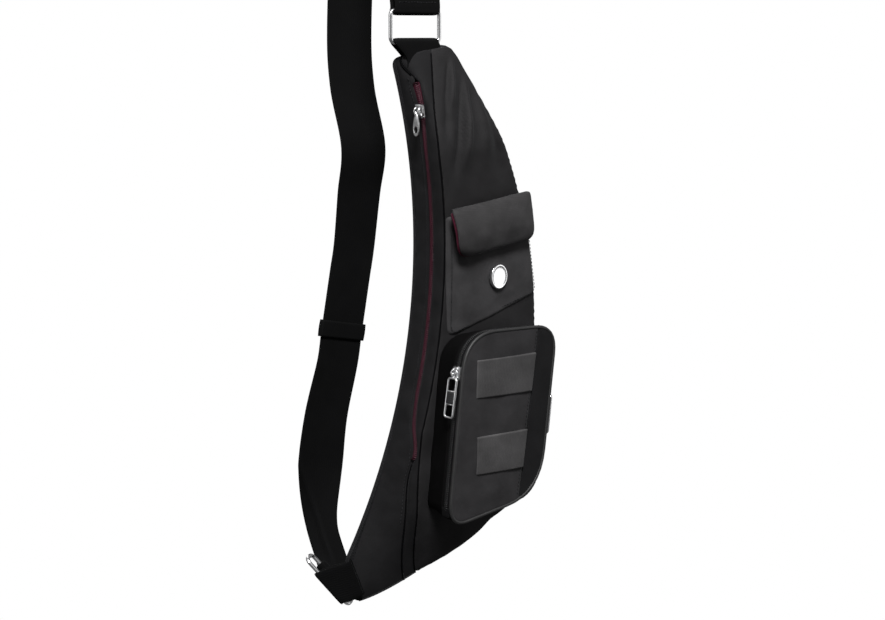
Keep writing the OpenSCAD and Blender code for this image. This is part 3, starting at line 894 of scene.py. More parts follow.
def make_back_panel():
    """Padded back: air mesh pads with sewn channels between them."""
    grid = coons(back_sides(), dense_ends(60), dense_ends(190, 0.3))
    d = distance_to(grid, outline_of(BODY_SIDES))
    x, z = grid[..., 0], grid[..., 1]
    channel = np.min([np.abs(z - height - 0.22 * (x + 20)) for height in (118, 28, -62, -150)], 0)
    pads = quarter(np.minimum(d - 9, channel) / 7) * (d > 9)
    y = BACK_Y - 1.6 + 1.6 * quarter(d / 5) + 1.1 * pads + 0.15 * rumple(lift(grid, 0), 30, 1, 6)
    sheet("back_panel_cloth", MESH, lift(grid, y), lift(grid, BACK_Y - 2.6),
          "bag", "body_fabric", "back_panel", "back_padding")


def make_seams():
    """Turned seams round the back and along the lower edge, and near-black cords laid in the concave
    side's seam grooves as painted shade.
    """
    shape = Shape()
    shape.tube(lift(outline_of(BODY_SIDES)[:-1], BACK_Y - 0.3), 1.1, 8, closed=True)
    shape.tube(wall_bottom(np.linspace(0.05, 1, 40)), 0.8, 8)
    shape.piece("body_seams", BODY, "bag", "body_fabric")
    # Painted shade: near-black cords sunk in the concave side's seam grooves.
    shape = Shape()
    left = WALL.front + WALL.outward * 0.25 + np.array([0, -0.3, 0])
    shape.tube(left[2:-2], 0.7, 8)
    for low, high in ((TIP_ANGLE - 1, ZIP_LOW - 0.4), (ZIP_TOP + 0.5, TOP_ANGLE)):
        rows = WALL.rows_between(low, high)
        shape.tube(WALL.seam_line(rows) - WALL.outward[rows] * 0.35, 0.75, 8)
    shape.piece("seam_shade_cords", SEAM_SHADE, "bag", "body_fabric")


def make_lining(count=90, inset=0.93):
    """Burgundy bag inside the body."""
    shares = even(count)
    right, right_front = (resample(edge, shares) for edge in gusset_rows(count))
    left = lift(resample(BODY_SIDES[0], shares), -4.0) + (5.5, 0, 0)
    left_front = with_seam_y(resample(FRONT_SIDES[0], shares)) + (5.5, 2.5, 0)
    rings = []
    for i in range(4, count - 4):
        a, b = left[i], left_front[i]
        c = right_front[i] * inset + b * (1 - inset) + np.array([0, 2.5, 0])
        d = right[i] * inset + a * (1 - inset)
        rings.append([a, (a + b) / 2, b, (b + c) / 2, c, (c + d) / 2, d, (a + d) / 2])
    shape = Shape()
    shape.solid(rings)
    shape.piece("body_lining", BURGUNDY, "bag", "burgundy_fabric", "lining")


# ---------- main zip ----------


def zip_centre(samples):
    """Points on the zip's line with their outward and sideways directions."""
    rows = WALL.rows_between(ZIP_LOW, ZIP_TOP)
    centre = WALL.seam_line(rows)
    shares = even(samples)
    index = shares * (len(rows) - 1)
    ways = [np.stack([np.interp(index, range(len(rows)), column) for column in way.T], 1)
            for way in (WALL.outward[rows], WALL.seam_line(rows, 0.05) - centre)]
    return resample(centre, shares), *[unit(way) for way in ways]


def zip_side(zip_name, which, side, line, tape, tooth, pitch, looks, body, slot):
    """One side of a zip: its tape, and the teeth of its coil, half a pitch on from the other's.
    The line holds centres with outward and sideways directions, and tape and tooth are
    profiles of (sideways, outward)."""
    outer, inner = ([[c + side * a * u + n * (h - thick) for u, h in tape]
                     for c, n, a in zip(*line)] for thick in (0, 0.5))
    sheet(f"{zip_name}_tape_{which}_cloth", looks[0], outer, inner, body, slot,
          f"{zip_name}_tape_{which}")
    teeth = Shape()
    run = lengths(line[0])
    for k in range(int(run[-1] / pitch)):
        c, n, a = (value_at(values, run, (k + max(side, 0) / 2) * pitch) for values in line)
        n = unit(n)
        teeth.tube([c + side * a * u + n * h for u, h in tooth], 0.42, 6, up=unit(np.cross(n, a)))
    teeth.piece(f"{zip_name}_coil_{which}_teeth", looks[1], body, "zip_coil",
                f"{zip_name}_coil_{which}")


def make_main_zip():
    line = zip_centre(240)
    tape = [(0.55, -1.05), (1.2, -0.7), (2.2, -0.8), (3.0, -1.1), (ZIP_HALF + 1.6, -1.4)]
    tooth = [(1.9, -0.7), (1.2, -0.15), (0.2, 0.0), (-0.35, -0.3), (0.3, -0.9), (1.6, -1.0)]
    for side, which in ((-1, "back"), (1, "front")):
        zip_side("main_zip", which, side, line, tape, tooth, 1.6, (BURGUNDY, COIL_RED),
                 "bag", "burgundy_fabric")
    stops = Shape()
    for end in (0, -1):
        c, n, a = (values[end] for values in line)
        stops.tube([c + a * u + n * h for u, h in ((-2, -0.1), (-1.2, 0.7), (1.2, 0.7), (2, -0.1))],
                   0.7, 8, up=np.cross(n, a))
    stops.piece("main_zip_end_stops", DARK_STEEL, "bag", "hardware", "main_zip_stops")


# ---------- sliders and pulls ----------

def wall_place(origin, angle):
    """Places local X into the bag, Y up along the wall and Z to the front."""
    a = math.radians(angle)

    def place(p):
        x, y, z = p
        return np.array([origin[0] + x * math.cos(a) - y * math.sin(a), origin[1] - z,
                         origin[2] + x * math.sin(a) + y * math.cos(a)])
    return place


PIN_HEIGHT = 4.2


def slider_shape(place):
    """A zip slider: a waisted plate, rims round the teeth, and a bridge that holds the pin."""
    half_length, half_width = 6.0, 4.5
    across = np.linspace(-1, 1, 9)
    front, back = [], []
    for y in np.linspace(-half_length, half_length, 13):
        t = (y + half_length) / (2 * half_length)
        end = quarter(min(t, 1 - t) / 0.10)
        waist = 0.72 + 0.28 * math.sin(math.pi * min(1, t * 1.15) * 0.5 + 0.55 * t)
        w = half_width * waist * (0.55 + 0.45 * end)
        front.append([place((-1.3 - 0.5 * (1 - u * u) * end - 0.7 * end * (1 - u ** 4), y, u * w))
                      for u in across])
        back.append([place((-0.75, y, u * w)) for u in across])
    shape = Shape()
    shape.slab(front, back)
    rim = ((-0.6, -half_length + 1.2, 0.5), (0.2, -half_length + 1.6, 0.45),
           (0.2, half_length - 1.2, 0.45), (-0.6, half_length - 0.8, 0.5))
    bridge = ((0, 3.4), (1.6, 3.0), (2.8, 1.6), (3.3, 0), (2.8, -1.6), (1.6, -3.0), (0, -3.4))
    for side in (-1, 1):
        shape.tube([place((x, y, side * (half_width - inset))) for x, y, inset in rim], 0.6, 8)
    for side in (-1, 1):
        shape.tube([place((-1.2 - h, y, side * 2.6)) for h, y in bridge], 0.62, 8)
    shape.tube([place((-PIN_HEIGHT, 0, -3.1)), place((-PIN_HEIGHT, 0, 3.1))], 0.6, 10)
    return shape


def pull_eye(shape, place, reach, drop, wire):
    """The eye by which a pull hangs on its slider's pin."""
    path = [place((1.15 * math.cos(t) - PIN_HEIGHT, reach * math.sin(t) - drop, 0))
            for t in turns(14)]
    shape.tube(path, wire, 8, closed=True)


def rounded_rectangle(width, height, corner, steps=6):
    """Closed path round a rectangle in a plane, centred on the origin."""
    points = []
    for sx, sy, first in ((1, 1, 0), (-1, 1, 90), (-1, -1, 180), (1, -1, 270)):
        centre = np.array([sx * (width / 2 - corner), sy * (height / 2 - corner)])
        for k in range(steps + 1):
            a = math.radians(first + 90 * k / steps)
            points.append(centre + corner * np.array([math.cos(a), math.sin(a)]))
    return np.array(points)


def framed_pull_shapes(place, length=33.0, half_width=5.8):
    """A wire frame with two crossbars, and the ribbed grip between them."""
    frame_shape, grip = Shape(), Shape()
    rod = 0.95
    middle = -3 - length / 2
    x = -PIN_HEIGHT
    path = rounded_rectangle(2 * half_width - 2 * rod, length - 2 * rod, 2.2)
    frame_shape.tube([place((x, middle + p[1], p[0])) for p in path], rod, 10, closed=True)
    for y in (middle - 5.2, middle + 5.2):
        frame_shape.tube([place((x, y, -half_width + 1)), place((x, y, half_width - 1))], 0.75, 10)
    pull_eye(frame_shape, place, 1.725, 1.4, 0.75)
    frame_shape.block((x - 0.8, -4.2, -1.9), (x + 0.8, -2.2, 1.9), place, 0.4)
    rings = []
    for y in np.linspace(-5.0, 5.0, 21):
        end = quarter((5.0 - abs(y)) / 0.9)
        rib = 0.16 * math.cos(y * 2 * math.pi / 1.6)
        thick = (1.55 * end ** 0.5 + rib) * (0.5 + 0.5 * end)
        wide = 4.6 * (0.8 + 0.2 * end)
        rings.append([place((x + thick * math.cos(a), middle + y,
                             wide * math.copysign(abs(math.sin(a)) ** 0.55, math.sin(a))))
                      for a in turns(24)])
    grip.solid(rings)
    return frame_shape, grip


def swung(place, angle):
    """The same place turned about the pull's pin, away from the wall."""
    a = math.radians(-angle)

    def turned(p):
        x, y, z = p
        x = x + PIN_HEIGHT
        return place((x * math.cos(a) - y * math.sin(a) - PIN_HEIGHT,
                      x * math.sin(a) + y * math.cos(a), z))
    return turned


def teardrop_shape(place, length=19.0):
    """A flat teardrop pull with a nearly round hole near its broad lower end."""
    x = -PIN_HEIGHT
    end = 4.4 - length
    outline = np.array([(end + (length - 6) / 2 + length / 2 * math.cos(t) - 1.6,
                         (4.4 - 1.9 * smoothstep((1 + math.cos(t)) / 2)) * math.sin(t))
                        for t in turns(44)])
    hole = np.array([(end + 0.4 + 2.3 * math.cos(t), 2.1 * math.sin(t)) for t in turns(44)])
    section = ((-0.8, 0.06), (-0.8, 0.9), (-0.35, 1.0), (0.35, 1.0), (0.8, 0.9), (0.8, 0.06))
    rings = [[place((x + level, *p)) for p in hole + (outline - hole) * share]
             for level, share in section]
    shape = Shape()
    shape.grid(rings, close_across=True, close_along=True)
    pull_eye(shape, place, 1.7, 1.6, 0.7)
    shape.block((x - 0.7, -6.5, -1.6), (x + 0.7, -2.6, 1.6), place, 0.4)
    return shape


def make_main_slider():
    pin = np.array(joint("main_pull_swing")["pos_m"]) / MM
    angle = math.degrees(math.atan2(pin[2] - ZIP_PIVOT[2], pin[0] - ZIP_PIVOT[0]))
    x, z = arc_point(angle)
    place = wall_place((x, -ZIP_LINE, z), angle)
    bevelled(slider_shape(place).piece("main_slider_metal", NICKEL, "main_slider", "hardware",
                                       "main_zip_slider"))
    pull = teardrop_shape(swung(place, angle))
    bevelled(pull.piece("main_pull_metal", NICKEL, "main_pull", "hardware", "main_zip_pull"))


# ---------- flap pocket ----------

FLAP_CENTRE = np.array([10, 94])
FLAP_TILT = 7.5
FLAP_WIDTH = 86
FLAP_HEIGHT = 40
PATCH_FRONT = DEPTH + 3
FLAP_BACK = PATCH_FRONT + 0.8
BUTTON_AT = np.array([19.5, 31])
PATCH_CORNERS = [(-31, 82), (54.5, 88), (65, 14), (-31, -15)]
PATCH_SIDES = quad_sides(PATCH_CORNERS, [3, 4, 5, 9])
HOOK_CORNERS = [(-17, -18), (23, -18), (23, -34), (-17, -34)]


def tilted(points, centre=FLAP_CENTRE, tilt=FLAP_TILT):
    a = math.radians(tilt)
    p = np.asarray(points, float)
    return centre + np.stack([p[..., 0] * math.cos(a) - p[..., 1] * math.sin(a),
                              p[..., 0] * math.sin(a) + p[..., 1] * math.cos(a)], -1)


def hook_grid():
    """Grid of the closure patch under the flap, in the flap's own directions."""
    return coons(quad_sides(HOOK_CORNERS, [1.5] * 4), even(16), even(8))


def make_patch_pocket():
    grid = coons(PATCH_SIDES, dense_ends(40), dense_ends(40))
    d = distance_to(grid, outline_of(PATCH_SIDES))
    belly = smoothstep(d / 16)
    base = front_surface(grid)
    puff = 2.0 * quarter(d / 2.2) + belly + 0.35 * rumple(lift(grid, 0), 22, 1, 12) * belly
    sheet("patch_pocket_cloth", POCKET, lift(grid, base + 0.4 - puff), lift(grid, base + 0.9),
          "bag", "pocket_fabric", "patch_pocket")
    half = FLAP_WIDTH / 2 - 6
    line = straight(*tilted([(-half, -3.4), (half, -3.4)]), 30)
    front, back = [], []
    for a in np.linspace(-1, 1, 9):
        row = line + tilted([(0, a * 2.3)]) - FLAP_CENTRE
        front.append(lift(row, -(FLAP_BACK - 0.6 + 0.8 * math.sqrt(max(0, 1 - a * a)))))
        back.append(lift(row, -(DEPTH - 1.5)))
    sheet("flap_seam_cloth", POCKET, front, back, "bag", "pocket_fabric", "flap_seam_strip")
    patch = tilted(hook_grid())
    sheet("loop_patch_pile", HOOKS, lift(patch, -(PATCH_FRONT + 0.5)), lift(patch, 0.6 - PATCH_FRONT),
          "bag", "hook_loop", "pocket_loop_patch")


def flap_bow(local):
    """How far the flap stands off the pocket: it arches over and lifts at its left edge."""
    down = np.clip(-local[..., 1] / FLAP_HEIGHT, 0, 1)
    left = smoothstep((-local[..., 0] - 8) / 36)
    right = smoothstep((local[..., 0] - 8) / 36)
    arch = np.sin(math.pi * np.clip(down * 0.86 + 0.04, 0, 1))
    return (2.4 + 2.8 * left - 1.6 * right) * arch + 0.5 * down - 1.4 * right


def make_flap():
    """The padded flap, its burgundy lining that shows at the left and low edges, and its patch."""
    half = FLAP_WIDTH / 2
    round_corners = [4, 4, 11, 15]
    across, down = dense_ends(46), dense_ends(26)
    sides = quad_sides([(-half, 0), (half, 0), (half, -FLAP_HEIGHT), (-half, -FLAP_HEIGHT)],
                       round_corners)
    grid = coons(sides, across, down)
    d = distance_to(grid, outline_of(sides))
    world = tilted(grid)
    back = -(FLAP_BACK + 1.2 + flap_bow(grid))
    puff = 0.55 * quarter(d / 5.0) + 0.45 * smoothstep(d / 17)
    swell = 0.6 * rumple(lift(world, 0), 18, 1, 20) * smoothstep(d / 6)
    sheet("flap_cloth", FLAP, lift(world, back - 1.0 - 5.0 * puff - swell), lift(world, back),
          "flap", "flap_fabric", "pocket_flap")
    corners = [(-half - 1.6, -2.5), (half - 0.5, -2.5), (half - 0.5, -FLAP_HEIGHT),
               (-half - 0.6, -FLAP_HEIGHT - 0.3)]
    lining = coons(quad_sides(corners, [3, *round_corners[1:]]), across, down)
    for name, material, slot, node, grid, thick in (
            ("flap_lining_cloth", BURGUNDY, "burgundy_fabric", "flap_lining", lining, -1.5),
            ("hook_patch_pile", HOOKS, "hook_loop", "flap_hook_patch", hook_grid(), 0.5)):
        y = -(FLAP_BACK + 0.15 + flap_bow(grid))
        far, near = sorted((0, thick))
        sheet(name, material, lift(tilted(grid), y + far), lift(tilted(grid), y + near),
              "flap", slot, node)


def make_button():
    """A dished metal button that faces a little to the right, with its post and washer."""
    r = 10.2
    face = PATCH_FRONT + 2.6
    turned = math.radians(9)
    facing = np.array([math.sin(turned), -math.cos(turned), 0.0])
    centre = np.array([BUTTON_AT[0], -face, BUTTON_AT[1]]) - face * facing
    dish = [(r - 1.2, PATCH_FRONT - 1.2), (r, PATCH_FRONT - 0.6), (r, face - 0.7),
            (r - 0.25, face - 0.2), (r - 0.8, face), (r - 1.6, face - 0.1), (r - 2.6, face - 0.45),
            (r - 5, face - 0.5), (r - 8, face - 0.52), (0.01, face - 0.53)]
    shape = Shape()
    shape.lathe(dish, centre, facing, 64)
    subdivide(shape.piece("button_cap_metal", NICKEL, "bag", "hardware", "button_cap"))
    for name, radius, far in (("button_post", 2, PATCH_FRONT), ("button_washer", 6, PATCH_FRONT - 1.1)):
        near = PATCH_FRONT - 1.6
        shape = Shape()
        shape.lathe([(radius - 0.2, near), (radius, near + 0.2), (radius, far - 0.2),
                     (radius - 0.2, far)], centre, facing, 32)
        shape.piece(name + "_metal", STEEL, "bag", "rivet", name)


# ---------- box pocket ----------

LOW_LEFT = np.array([-59, -161])
LOW_RIGHT = np.array([38, -146])
UP_RIGHT = np.array([56, -9])
UP_LEFT = np.array([-41, -7])
POCKET_FACE = DEPTH + 34
POCKET_ZIP = POCKET_FACE - 6.2
POCKET_CORNERS = [UP_LEFT, UP_RIGHT, LOW_RIGHT, LOW_LEFT]
POCKET_REACH = [31, 24, 36, 20]
POCKET_SIDES = quad_sides(POCKET_CORNERS, POCKET_REACH)
SEAM_TOP = np.array([36, -7.3])
SEAM_LOW = np.array([15, -149.5])
ZIP_END_LEFT = -149
ZIP_END_RIGHT = -115
ZIP_TAB_BELOW = 9                           # the right tab clears the lowered slider


def pocket_loop(count=240):
    path = outline_of(POCKET_SIDES)
    return resample(path, even(count + 1))[:-1]


def outward_of(path):
    """Unit normals of a closed clockwise path, away from its inside."""
    along = directions(path, closed=True)
    return np.stack([-along[:, 1], along[:, 0]], 1)


def wall_ring(depths, offsets):
    """Rows round the pocket at the given depths and outward offsets."""
    path = pocket_loop()
    normal = outward_of(path)
    return np.array([lift(path + normal * np.reshape(offset, (-1, 1)), -depth)
                     for depth, offset in zip(depths, offsets)])


def wall_sag(share):
    """How far the pocket's wall draws in, most where it is sewn on."""
    return WALL_SAG * (1 - share) ** 1.2


def below_zip(path):
    """True where the pocket's wall lies below both ends of its zip."""
    limit = np.where(path[:, 0] < 0, ZIP_END_LEFT, ZIP_END_RIGHT)
    return path[:, 1] < limit


def run_of(wanted):
    """Indices of the one run of True in a ring, in order."""
    n = len(wanted)
    start = next(i for i in range(n) if wanted[i] and not wanted[i - 1])
    order = []
    while wanted[(start + len(order)) % n] and len(order) < n:
        order.append((start + len(order)) % n)
    return order


WALL_SAG = -5.5                              # how far the wall draws in where it is sewn on


def make_box_pocket_walls():
    path = pocket_loop()
    base_front = POCKET_ZIP - 4.1
    depths = np.linspace(DEPTH - 2, base_front, 12)
    share = (depths - depths[0]) / (depths[-1] - depths[0])
    sag = wall_sag(share) - 0.5 * np.sin(math.pi * share)
    where = np.array([lift(path / 20, d / 15) for d in depths])
    ruck = rumple(where, 1, 0.7, 0) * np.sin(math.pi * share)[:, None]
    offsets = sag[:, None] + ruck
    wall = Shape()
    wall.sleeve(wall_ring(depths, offsets), wall_ring(depths, offsets - 1.2))
    # Painted shade: the pocket's side wall takes the darkened copy of the body cloth.
    wall.piece("box_pocket_wall_cloth", SHADED_SIDE, "bag", "body_fabric", "box_pocket_wall")

    low = below_zip(path)
    order = run_of(low | np.roll(low, 1) | np.roll(low, -1))
    depths = np.linspace(base_front - 0.2, POCKET_ZIP + 4.3, 7)
    hinge = Shape()
    hinge.slab(wall_ring(depths, [-0.1] * 7)[:, order], wall_ring(depths, [-1.3] * 7)[:, order])
    # The hinge strip takes the same darkened cloth, painted shade as on the side wall.
    hinge.blended_piece("pocket_hinge_cloth", SHADED_SIDE, ("bag", "pocket_lid"), (0, -base_front, 0),
                        (0, -(POCKET_ZIP + 4), 0), "body_fabric")

    depths = np.linspace(POCKET_ZIP + 4.1, POCKET_FACE + 0.2, 4)
    wall = Shape()
    wall.sleeve(wall_ring(depths, [0.3, 0.6, 0.6, 0.2]), wall_ring(depths, [-1.2] * 4))
    # The lid's wall takes the brightened coated cloth: painted highlight standing for the light band
    # along its top.
    wall.piece("pocket_lid_wall_cloth", COATED_PAINTED_HIGHLIGHT, "pocket_lid", "body_fabric", "pocket_lid_wall")

    depths = np.linspace(DEPTH + 0.4, POCKET_ZIP - 6, 8)
    sag = wall_sag(np.clip((depths - DEPTH + 2) / (base_front - DEPTH + 2), 0, 1))
    lining = Shape()
    lining.sleeve(wall_ring(depths, sag - 2.9), wall_ring(depths, sag - 3.5))
    grid = coons(POCKET_SIDES, even(20), even(30))
    middle = grid.mean((0, 1))
    floor = middle + (grid - middle) * 0.86
    lining.slab(lift(floor, -(DEPTH + 1.0)), lift(floor, -(DEPTH + 0.3)))
    lining.piece("box_pocket_lining_cloth", LINING, "bag", "body_fabric", "box_pocket_lining")


def make_pocket_zip():
    path = pocket_loop(300)
    order = run_of(~below_zip(path))
    run_path, run_normal = path[order], outward_of(path)[order]
    line = (lift(run_path, -POCKET_ZIP), lift(run_normal, 0),
            np.broadcast_to([0.0, -1, 0], (len(order), 3)))
    tape = [(0.5, -0.35), (1.3, 0.0), (2.6, -0.1), (4.3, -0.4)]
    tooth = [(1.8, -0.2), (1.0, 0.4), (0.1, 0.5), (-0.35, 0.15), (0.4, -0.4)]
    for side, which, body in ((-1, "base", "bag"), (1, "lid", "pocket_lid")):
        zip_side("pocket_zip", which, side, line, tape, tooth, 1.7, (TAPE, COIL_BLACK),
                 body, "body_fabric")
    tabs = Shape()
    for end, inner in ((0, 5), (-1, -6)):
        p = run_path[end]
        along = unit(p - run_path[inner])
        below = ZIP_TAB_BELOW if p[0] > 0 else 0
        place = along_wall(p + along * below, run_normal[end], along)
        tabs.block((-0.5, -3.0, -4.8), (0.9, 5.0, 4.8), place, 0.4)
    subdivide(tabs.piece("pocket_zip_end_cloth", TAPE, "bag", "body_fabric", "pocket_zip_end_tabs"))


def along_wall(p, normal, along):
    def place(q):
        return np.array([p[0] + normal[0] * q[0] + along[0] * q[1], -POCKET_ZIP - q[2],
                         p[1] + normal[1] * q[0] + along[1] * q[1]])
    return place


def lid_pad(name, corners, reach, material, slot, node, rise, seed):
    sides = quad_sides(corners, reach)
    grid = coons(sides, dense_ends(34), dense_ends(54))
    outline = outline_of(sides)
    d = distance_to(grid, outline)
    swell = 0.45 * rumple(lift(grid, 0), 20, 1, seed) * smoothstep(d / 8)
    y = -(POCKET_FACE + 0.2 + 0.9 * quarter(d / 2.5) + rise * smoothstep(d / 20)) - swell
    shape = Shape()
    shape.slab(lift(grid, y), lift(grid, -(POCKET_FACE - 0.9)))
    shape.piece(name, material, "pocket_lid", slot, node)


def make_lid():
    gap = np.array([0.25, 0])
    lid_pad("pocket_lid_cloth", [UP_LEFT, SEAM_TOP - gap, SEAM_LOW - gap, LOW_LEFT],
            [31, 1, 1, 20], LID, "panel_fabric", "pocket_lid_panel", 0.9, 31)
    lid_pad("pocket_side_strip_cloth", [SEAM_TOP + gap, UP_RIGHT, LOW_RIGHT, SEAM_LOW + gap],
            [1, 24, 36, 1], BODY, "body_fabric", "pocket_side_strip", 0.2, 37)
    shape = Shape()
    path = pocket_loop(280)
    normal = outward_of(path)
    shape.tube(lift(path + normal * 0.1, -(POCKET_FACE + 0.4)), 1.35, 12, closed=True)
    shape.piece("pocket_piping_cord", PIPING, "pocket_lid", "piping", "pocket_piping")


def edge_x(a, b, z):
    return a[0] + (b[0] - a[0]) * (z - a[1]) / (b[1] - a[1])


def make_bands():
    height = 32
    shares, down = even(34)[None, :], even(20)[:, None]
    swell = 1.5 * np.sin(math.pi * shares) ** 0.8 * (0.6 + 0.4 * np.sin(math.pi * down))
    edge = np.minimum(np.minimum(shares, 1 - shares) * 70, np.minimum(down, 1 - down) * height)
    y = -(POCKET_FACE + 1.1 + 1.1 * quarter(edge / 1.5) + swell)
    for which, top in (("upper", -28), ("lower", -90)):
        low = top - height
        corners = [(-31, top - 1), (edge_x(SEAM_TOP, SEAM_LOW, top) - 0.4, top - 1),
                   (edge_x(SEAM_TOP, SEAM_LOW, low) - 0.4, low - 0.5), (-32, low)]
        grid = coons(quad_sides(corners, [0.8] * 4), dense_ends(34), dense_ends(20))
        sheet(f"band_{which}_webbing", BAND, lift(grid, y), lift(grid, -(POCKET_FACE + 0.6)),
              "pocket_lid", "band_webbing", "band_" + which)


def make_pocket_pulls():
    for side, z, swing, a, b in (("left", -39, 2, UP_LEFT, LOW_LEFT),
                                 ("right", -63, 0, LOW_RIGHT, UP_RIGHT)):
        down = unit(b - a)
        angle = math.degrees(math.atan2(down[0], -down[1]))
        place = wall_place((edge_x(a, b, z), -POCKET_ZIP, z), angle)
        if side == "right":
            place = upside_down(place)
        bevelled(slider_shape(place).piece(side + "_slider_metal", NICKEL, side + "_slider",
                                           "hardware", side + "_zip_slider"))
        wire, grip = framed_pull_shapes(swung(place, swing))
        wire.piece(side + "_pull_metal", NICKEL, side + "_pull", "hardware", side + "_zip_pull")
        grip.piece(side + "_pull_rubber", GRIP, side + "_pull", "grip", side + "_pull_grip")


def upside_down(place):
    """The same place with up and down, and front and back, changed over."""
    return lambda p: place((p[0], -p[1], -p[2]))


# ---------- strap ----------

RING_X, RING_Y = -37, -10
RING_LOW, RING_HIGH = 220, 246
STRAP_WIDTH = 46
STRAP_THICK = 2.4
WIRE = 1.6
RING_BAR = np.array([RING_X, RING_Y, RING_HIGH])
BEND = np.array([RING_X, 33, 470])
STRAIGHT_TOP = np.array([-38.0, 70, 52])
STRAIGHT_LOW = np.array([-57.0, 70, -48])
BOTTOM_RING = np.array([-114.0, 10, -214])
BOTTOM_RISE = 12


def catmull(points, per=12):
    """Smooth path through a row of points."""
    p = [np.asarray(q, float) for q in points]
    out = []
    for i in range(len(p) - 1):
        a, b, c, d = p[max(i - 1, 0)], p[i], p[i + 1], p[min(i + 2, len(p) - 1)]
        for t in np.arange(per) / per:
            out.append(0.5 * (2 * b + (c - a) * t + (2 * a - 5 * b + 4 * c - d) * t * t
                              + (3 * b - a - 3 * c + d) * t ** 3))
    out.append(p[-1])
    return np.array(out)


BOTTOM_ALONG = unit([0.447, -0.51, -0.733])
BOTTOM_OUT = unit(np.cross(BOTTOM_ALONG, unit(np.cross([0.82, 0.56, 0.12], BOTTOM_ALONG))))
STRAP_BAR = BOTTOM_RING + BOTTOM_RISE * BOTTOM_OUT
STRAIGHT = unit(STRAIGHT_LOW - STRAIGHT_TOP)
LEVEL = unit(np.array([1, 0.09, 0]) - STRAIGHT * STRAIGHT[0])


def ribbon(shape, path, wishes, widths, thick, across=15, curl=None, fold=None, skew=False):
    """Webbing through a path: wishes give the direction of its width, curl its cross bend.
    A skewed ribbon keeps those directions even where its path runs aslant to them. A fold
    turns the ribbon's left part back, given as its edge's share and angle for each point."""
    path = np.asarray(path, float)
    u = np.sin(np.linspace(-math.pi / 2, math.pi / 2, across))
    half = thick / 2 * (1 - np.abs(u) ** 14 * 0.7)
    front, back = [], []
    for i, (p, along) in enumerate(zip(path, directions(path))):
        w = unit(wishes[i] - (0 if skew else 1) * along * (along @ wishes[i]))
        f = unit(np.cross(along, w))
        side = u * widths[i] / 2
        out = (0 if curl is None else curl[i]) * (u * u - 0.4)
        tilt = np.zeros(across)
        if fold is not None:
            beyond = np.maximum(fold[i][0] * widths[i] / 2 - side, 0)
            tilt = math.radians(fold[i][1]) * smoothstep(beyond / 5)
            side = side + beyond * (1 - np.cos(tilt))
            out = out - beyond * np.sin(tilt)
        for rows, h in ((front, half), (back, -half)):
            rows.append(p + np.outer(side - h * np.sin(tilt), w) + np.outer(out + h * np.cos(tilt), f))
    uv = np.stack(np.meshgrid(u * max(widths) / 2, lengths(path)), -1)
    shape.grid(front, uv=uv)
    shape.grid(back, uv=uv)
    front, back = np.array(front), np.array(back)
    shape.grid(np.stack([back[:, 0], front[:, 0]], 1))
    shape.grid(np.stack([front[:, -1], back[:, -1]], 1))
    shape.grid([front[0], back[0]])
    shape.grid([back[-1], front[-1]])


STRAP_STEPS = 10                    # points of the strap's path from each bend to the next


def strap_path():
    """Points down the strap, and the bends at which its straight stretch starts and ends."""
    r = WIRE + 1.6
    wrap = [(0, r * math.cos(t), r * math.sin(t)) for t in np.radians([40, 0, -45, -90, -135, -180])]
    over_ring = [(0, 3.6, 30), (0, 3.5, 12), *wrap, (0, -2.4, 12), (0, 5, 60), (0, 14, 110)]
    upper = [RING_BAR + np.array(step) for step in over_ring]
    upper += [BEND + np.array([0, -14, -22]), BEND, BEND + np.array([0, 14, -22]),
              (RING_X, 66, 350), (RING_X, 76, 240), (RING_X - 1, 72, 185), (-36, 60, 134),
              (-36, 66, 95), STRAIGHT_TOP]
    middle = [STRAIGHT_TOP + (STRAIGHT_LOW - STRAIGHT_TOP) * s for s in (0.25, 0.5, 0.75)]
    lower = [STRAIGHT_LOW, (-72, 68, -94), (-81.5, 64, -141), (-90, 49, -177),
             STRAP_BAR + 14 * BOTTOM_OUT]
    across = unit(np.cross(BOTTOM_ALONG, BOTTOM_OUT))
    end = [STRAP_BAR + r * (math.cos(t) * across + math.sin(t) * BOTTOM_OUT)
           for t in np.radians([0, -60, -120, -180])]
    end.append(STRAP_BAR - across * 3.2 + BOTTOM_OUT * 12)
    return catmull(upper + middle + lower + end, STRAP_STEPS), len(upper) - 1, len(upper) + 3


def make_strap():
    """The webbing. Going down it turns from facing front to lying along the lower ring, and
    below the straight stretch it narrows and its left part folds back."""
    path, straight_start, straight_end = strap_path()
    facing_front = np.array([1.0, 0, 0])
    end = (len(path) - 1) / STRAP_STEPS
    wishes, curl, fold, widths = [], [], [], []
    for bend in np.arange(len(path)) / STRAP_STEPS:
        if bend <= straight_end:
            s = smoothstep((bend - straight_start + 2) / 2)
            wishes.append(facing_front * (1 - s) + LEVEL * s)
        else:
            s = np.clip((bend - straight_end) / (end - straight_end - 4), 0, 1) ** 1.43
            wishes.append(LEVEL * (1 - s) + BOTTOM_ALONG * s)
        curl.append(3.0 * math.exp(-((bend - straight_end - 2.2) / 1.6) ** 2)
                    + math.exp(-((bend - straight_start + 2) / 1.2) ** 2))
        s = (bend - straight_end) / 3
        unfolded = 1 - smoothstep((s - 1.15) / 0.3)
        fold.append((-1 + 1.1 * smoothstep((s - 0.45) / 0.6),
                     60 * smoothstep((s - 0.4) / 0.25) * unfolded))
        widths.append(STRAP_WIDTH - 17 * smoothstep((s - 0.49) / 0.6))
    shape = Shape()
    ribbon(shape, path, wishes, widths, STRAP_THICK, 25, curl, fold)
    shape.piece("strap_webbing_cloth", STRAP, "strap", "strap_webbing",
                "strap_webbing", "strap_end_loops")


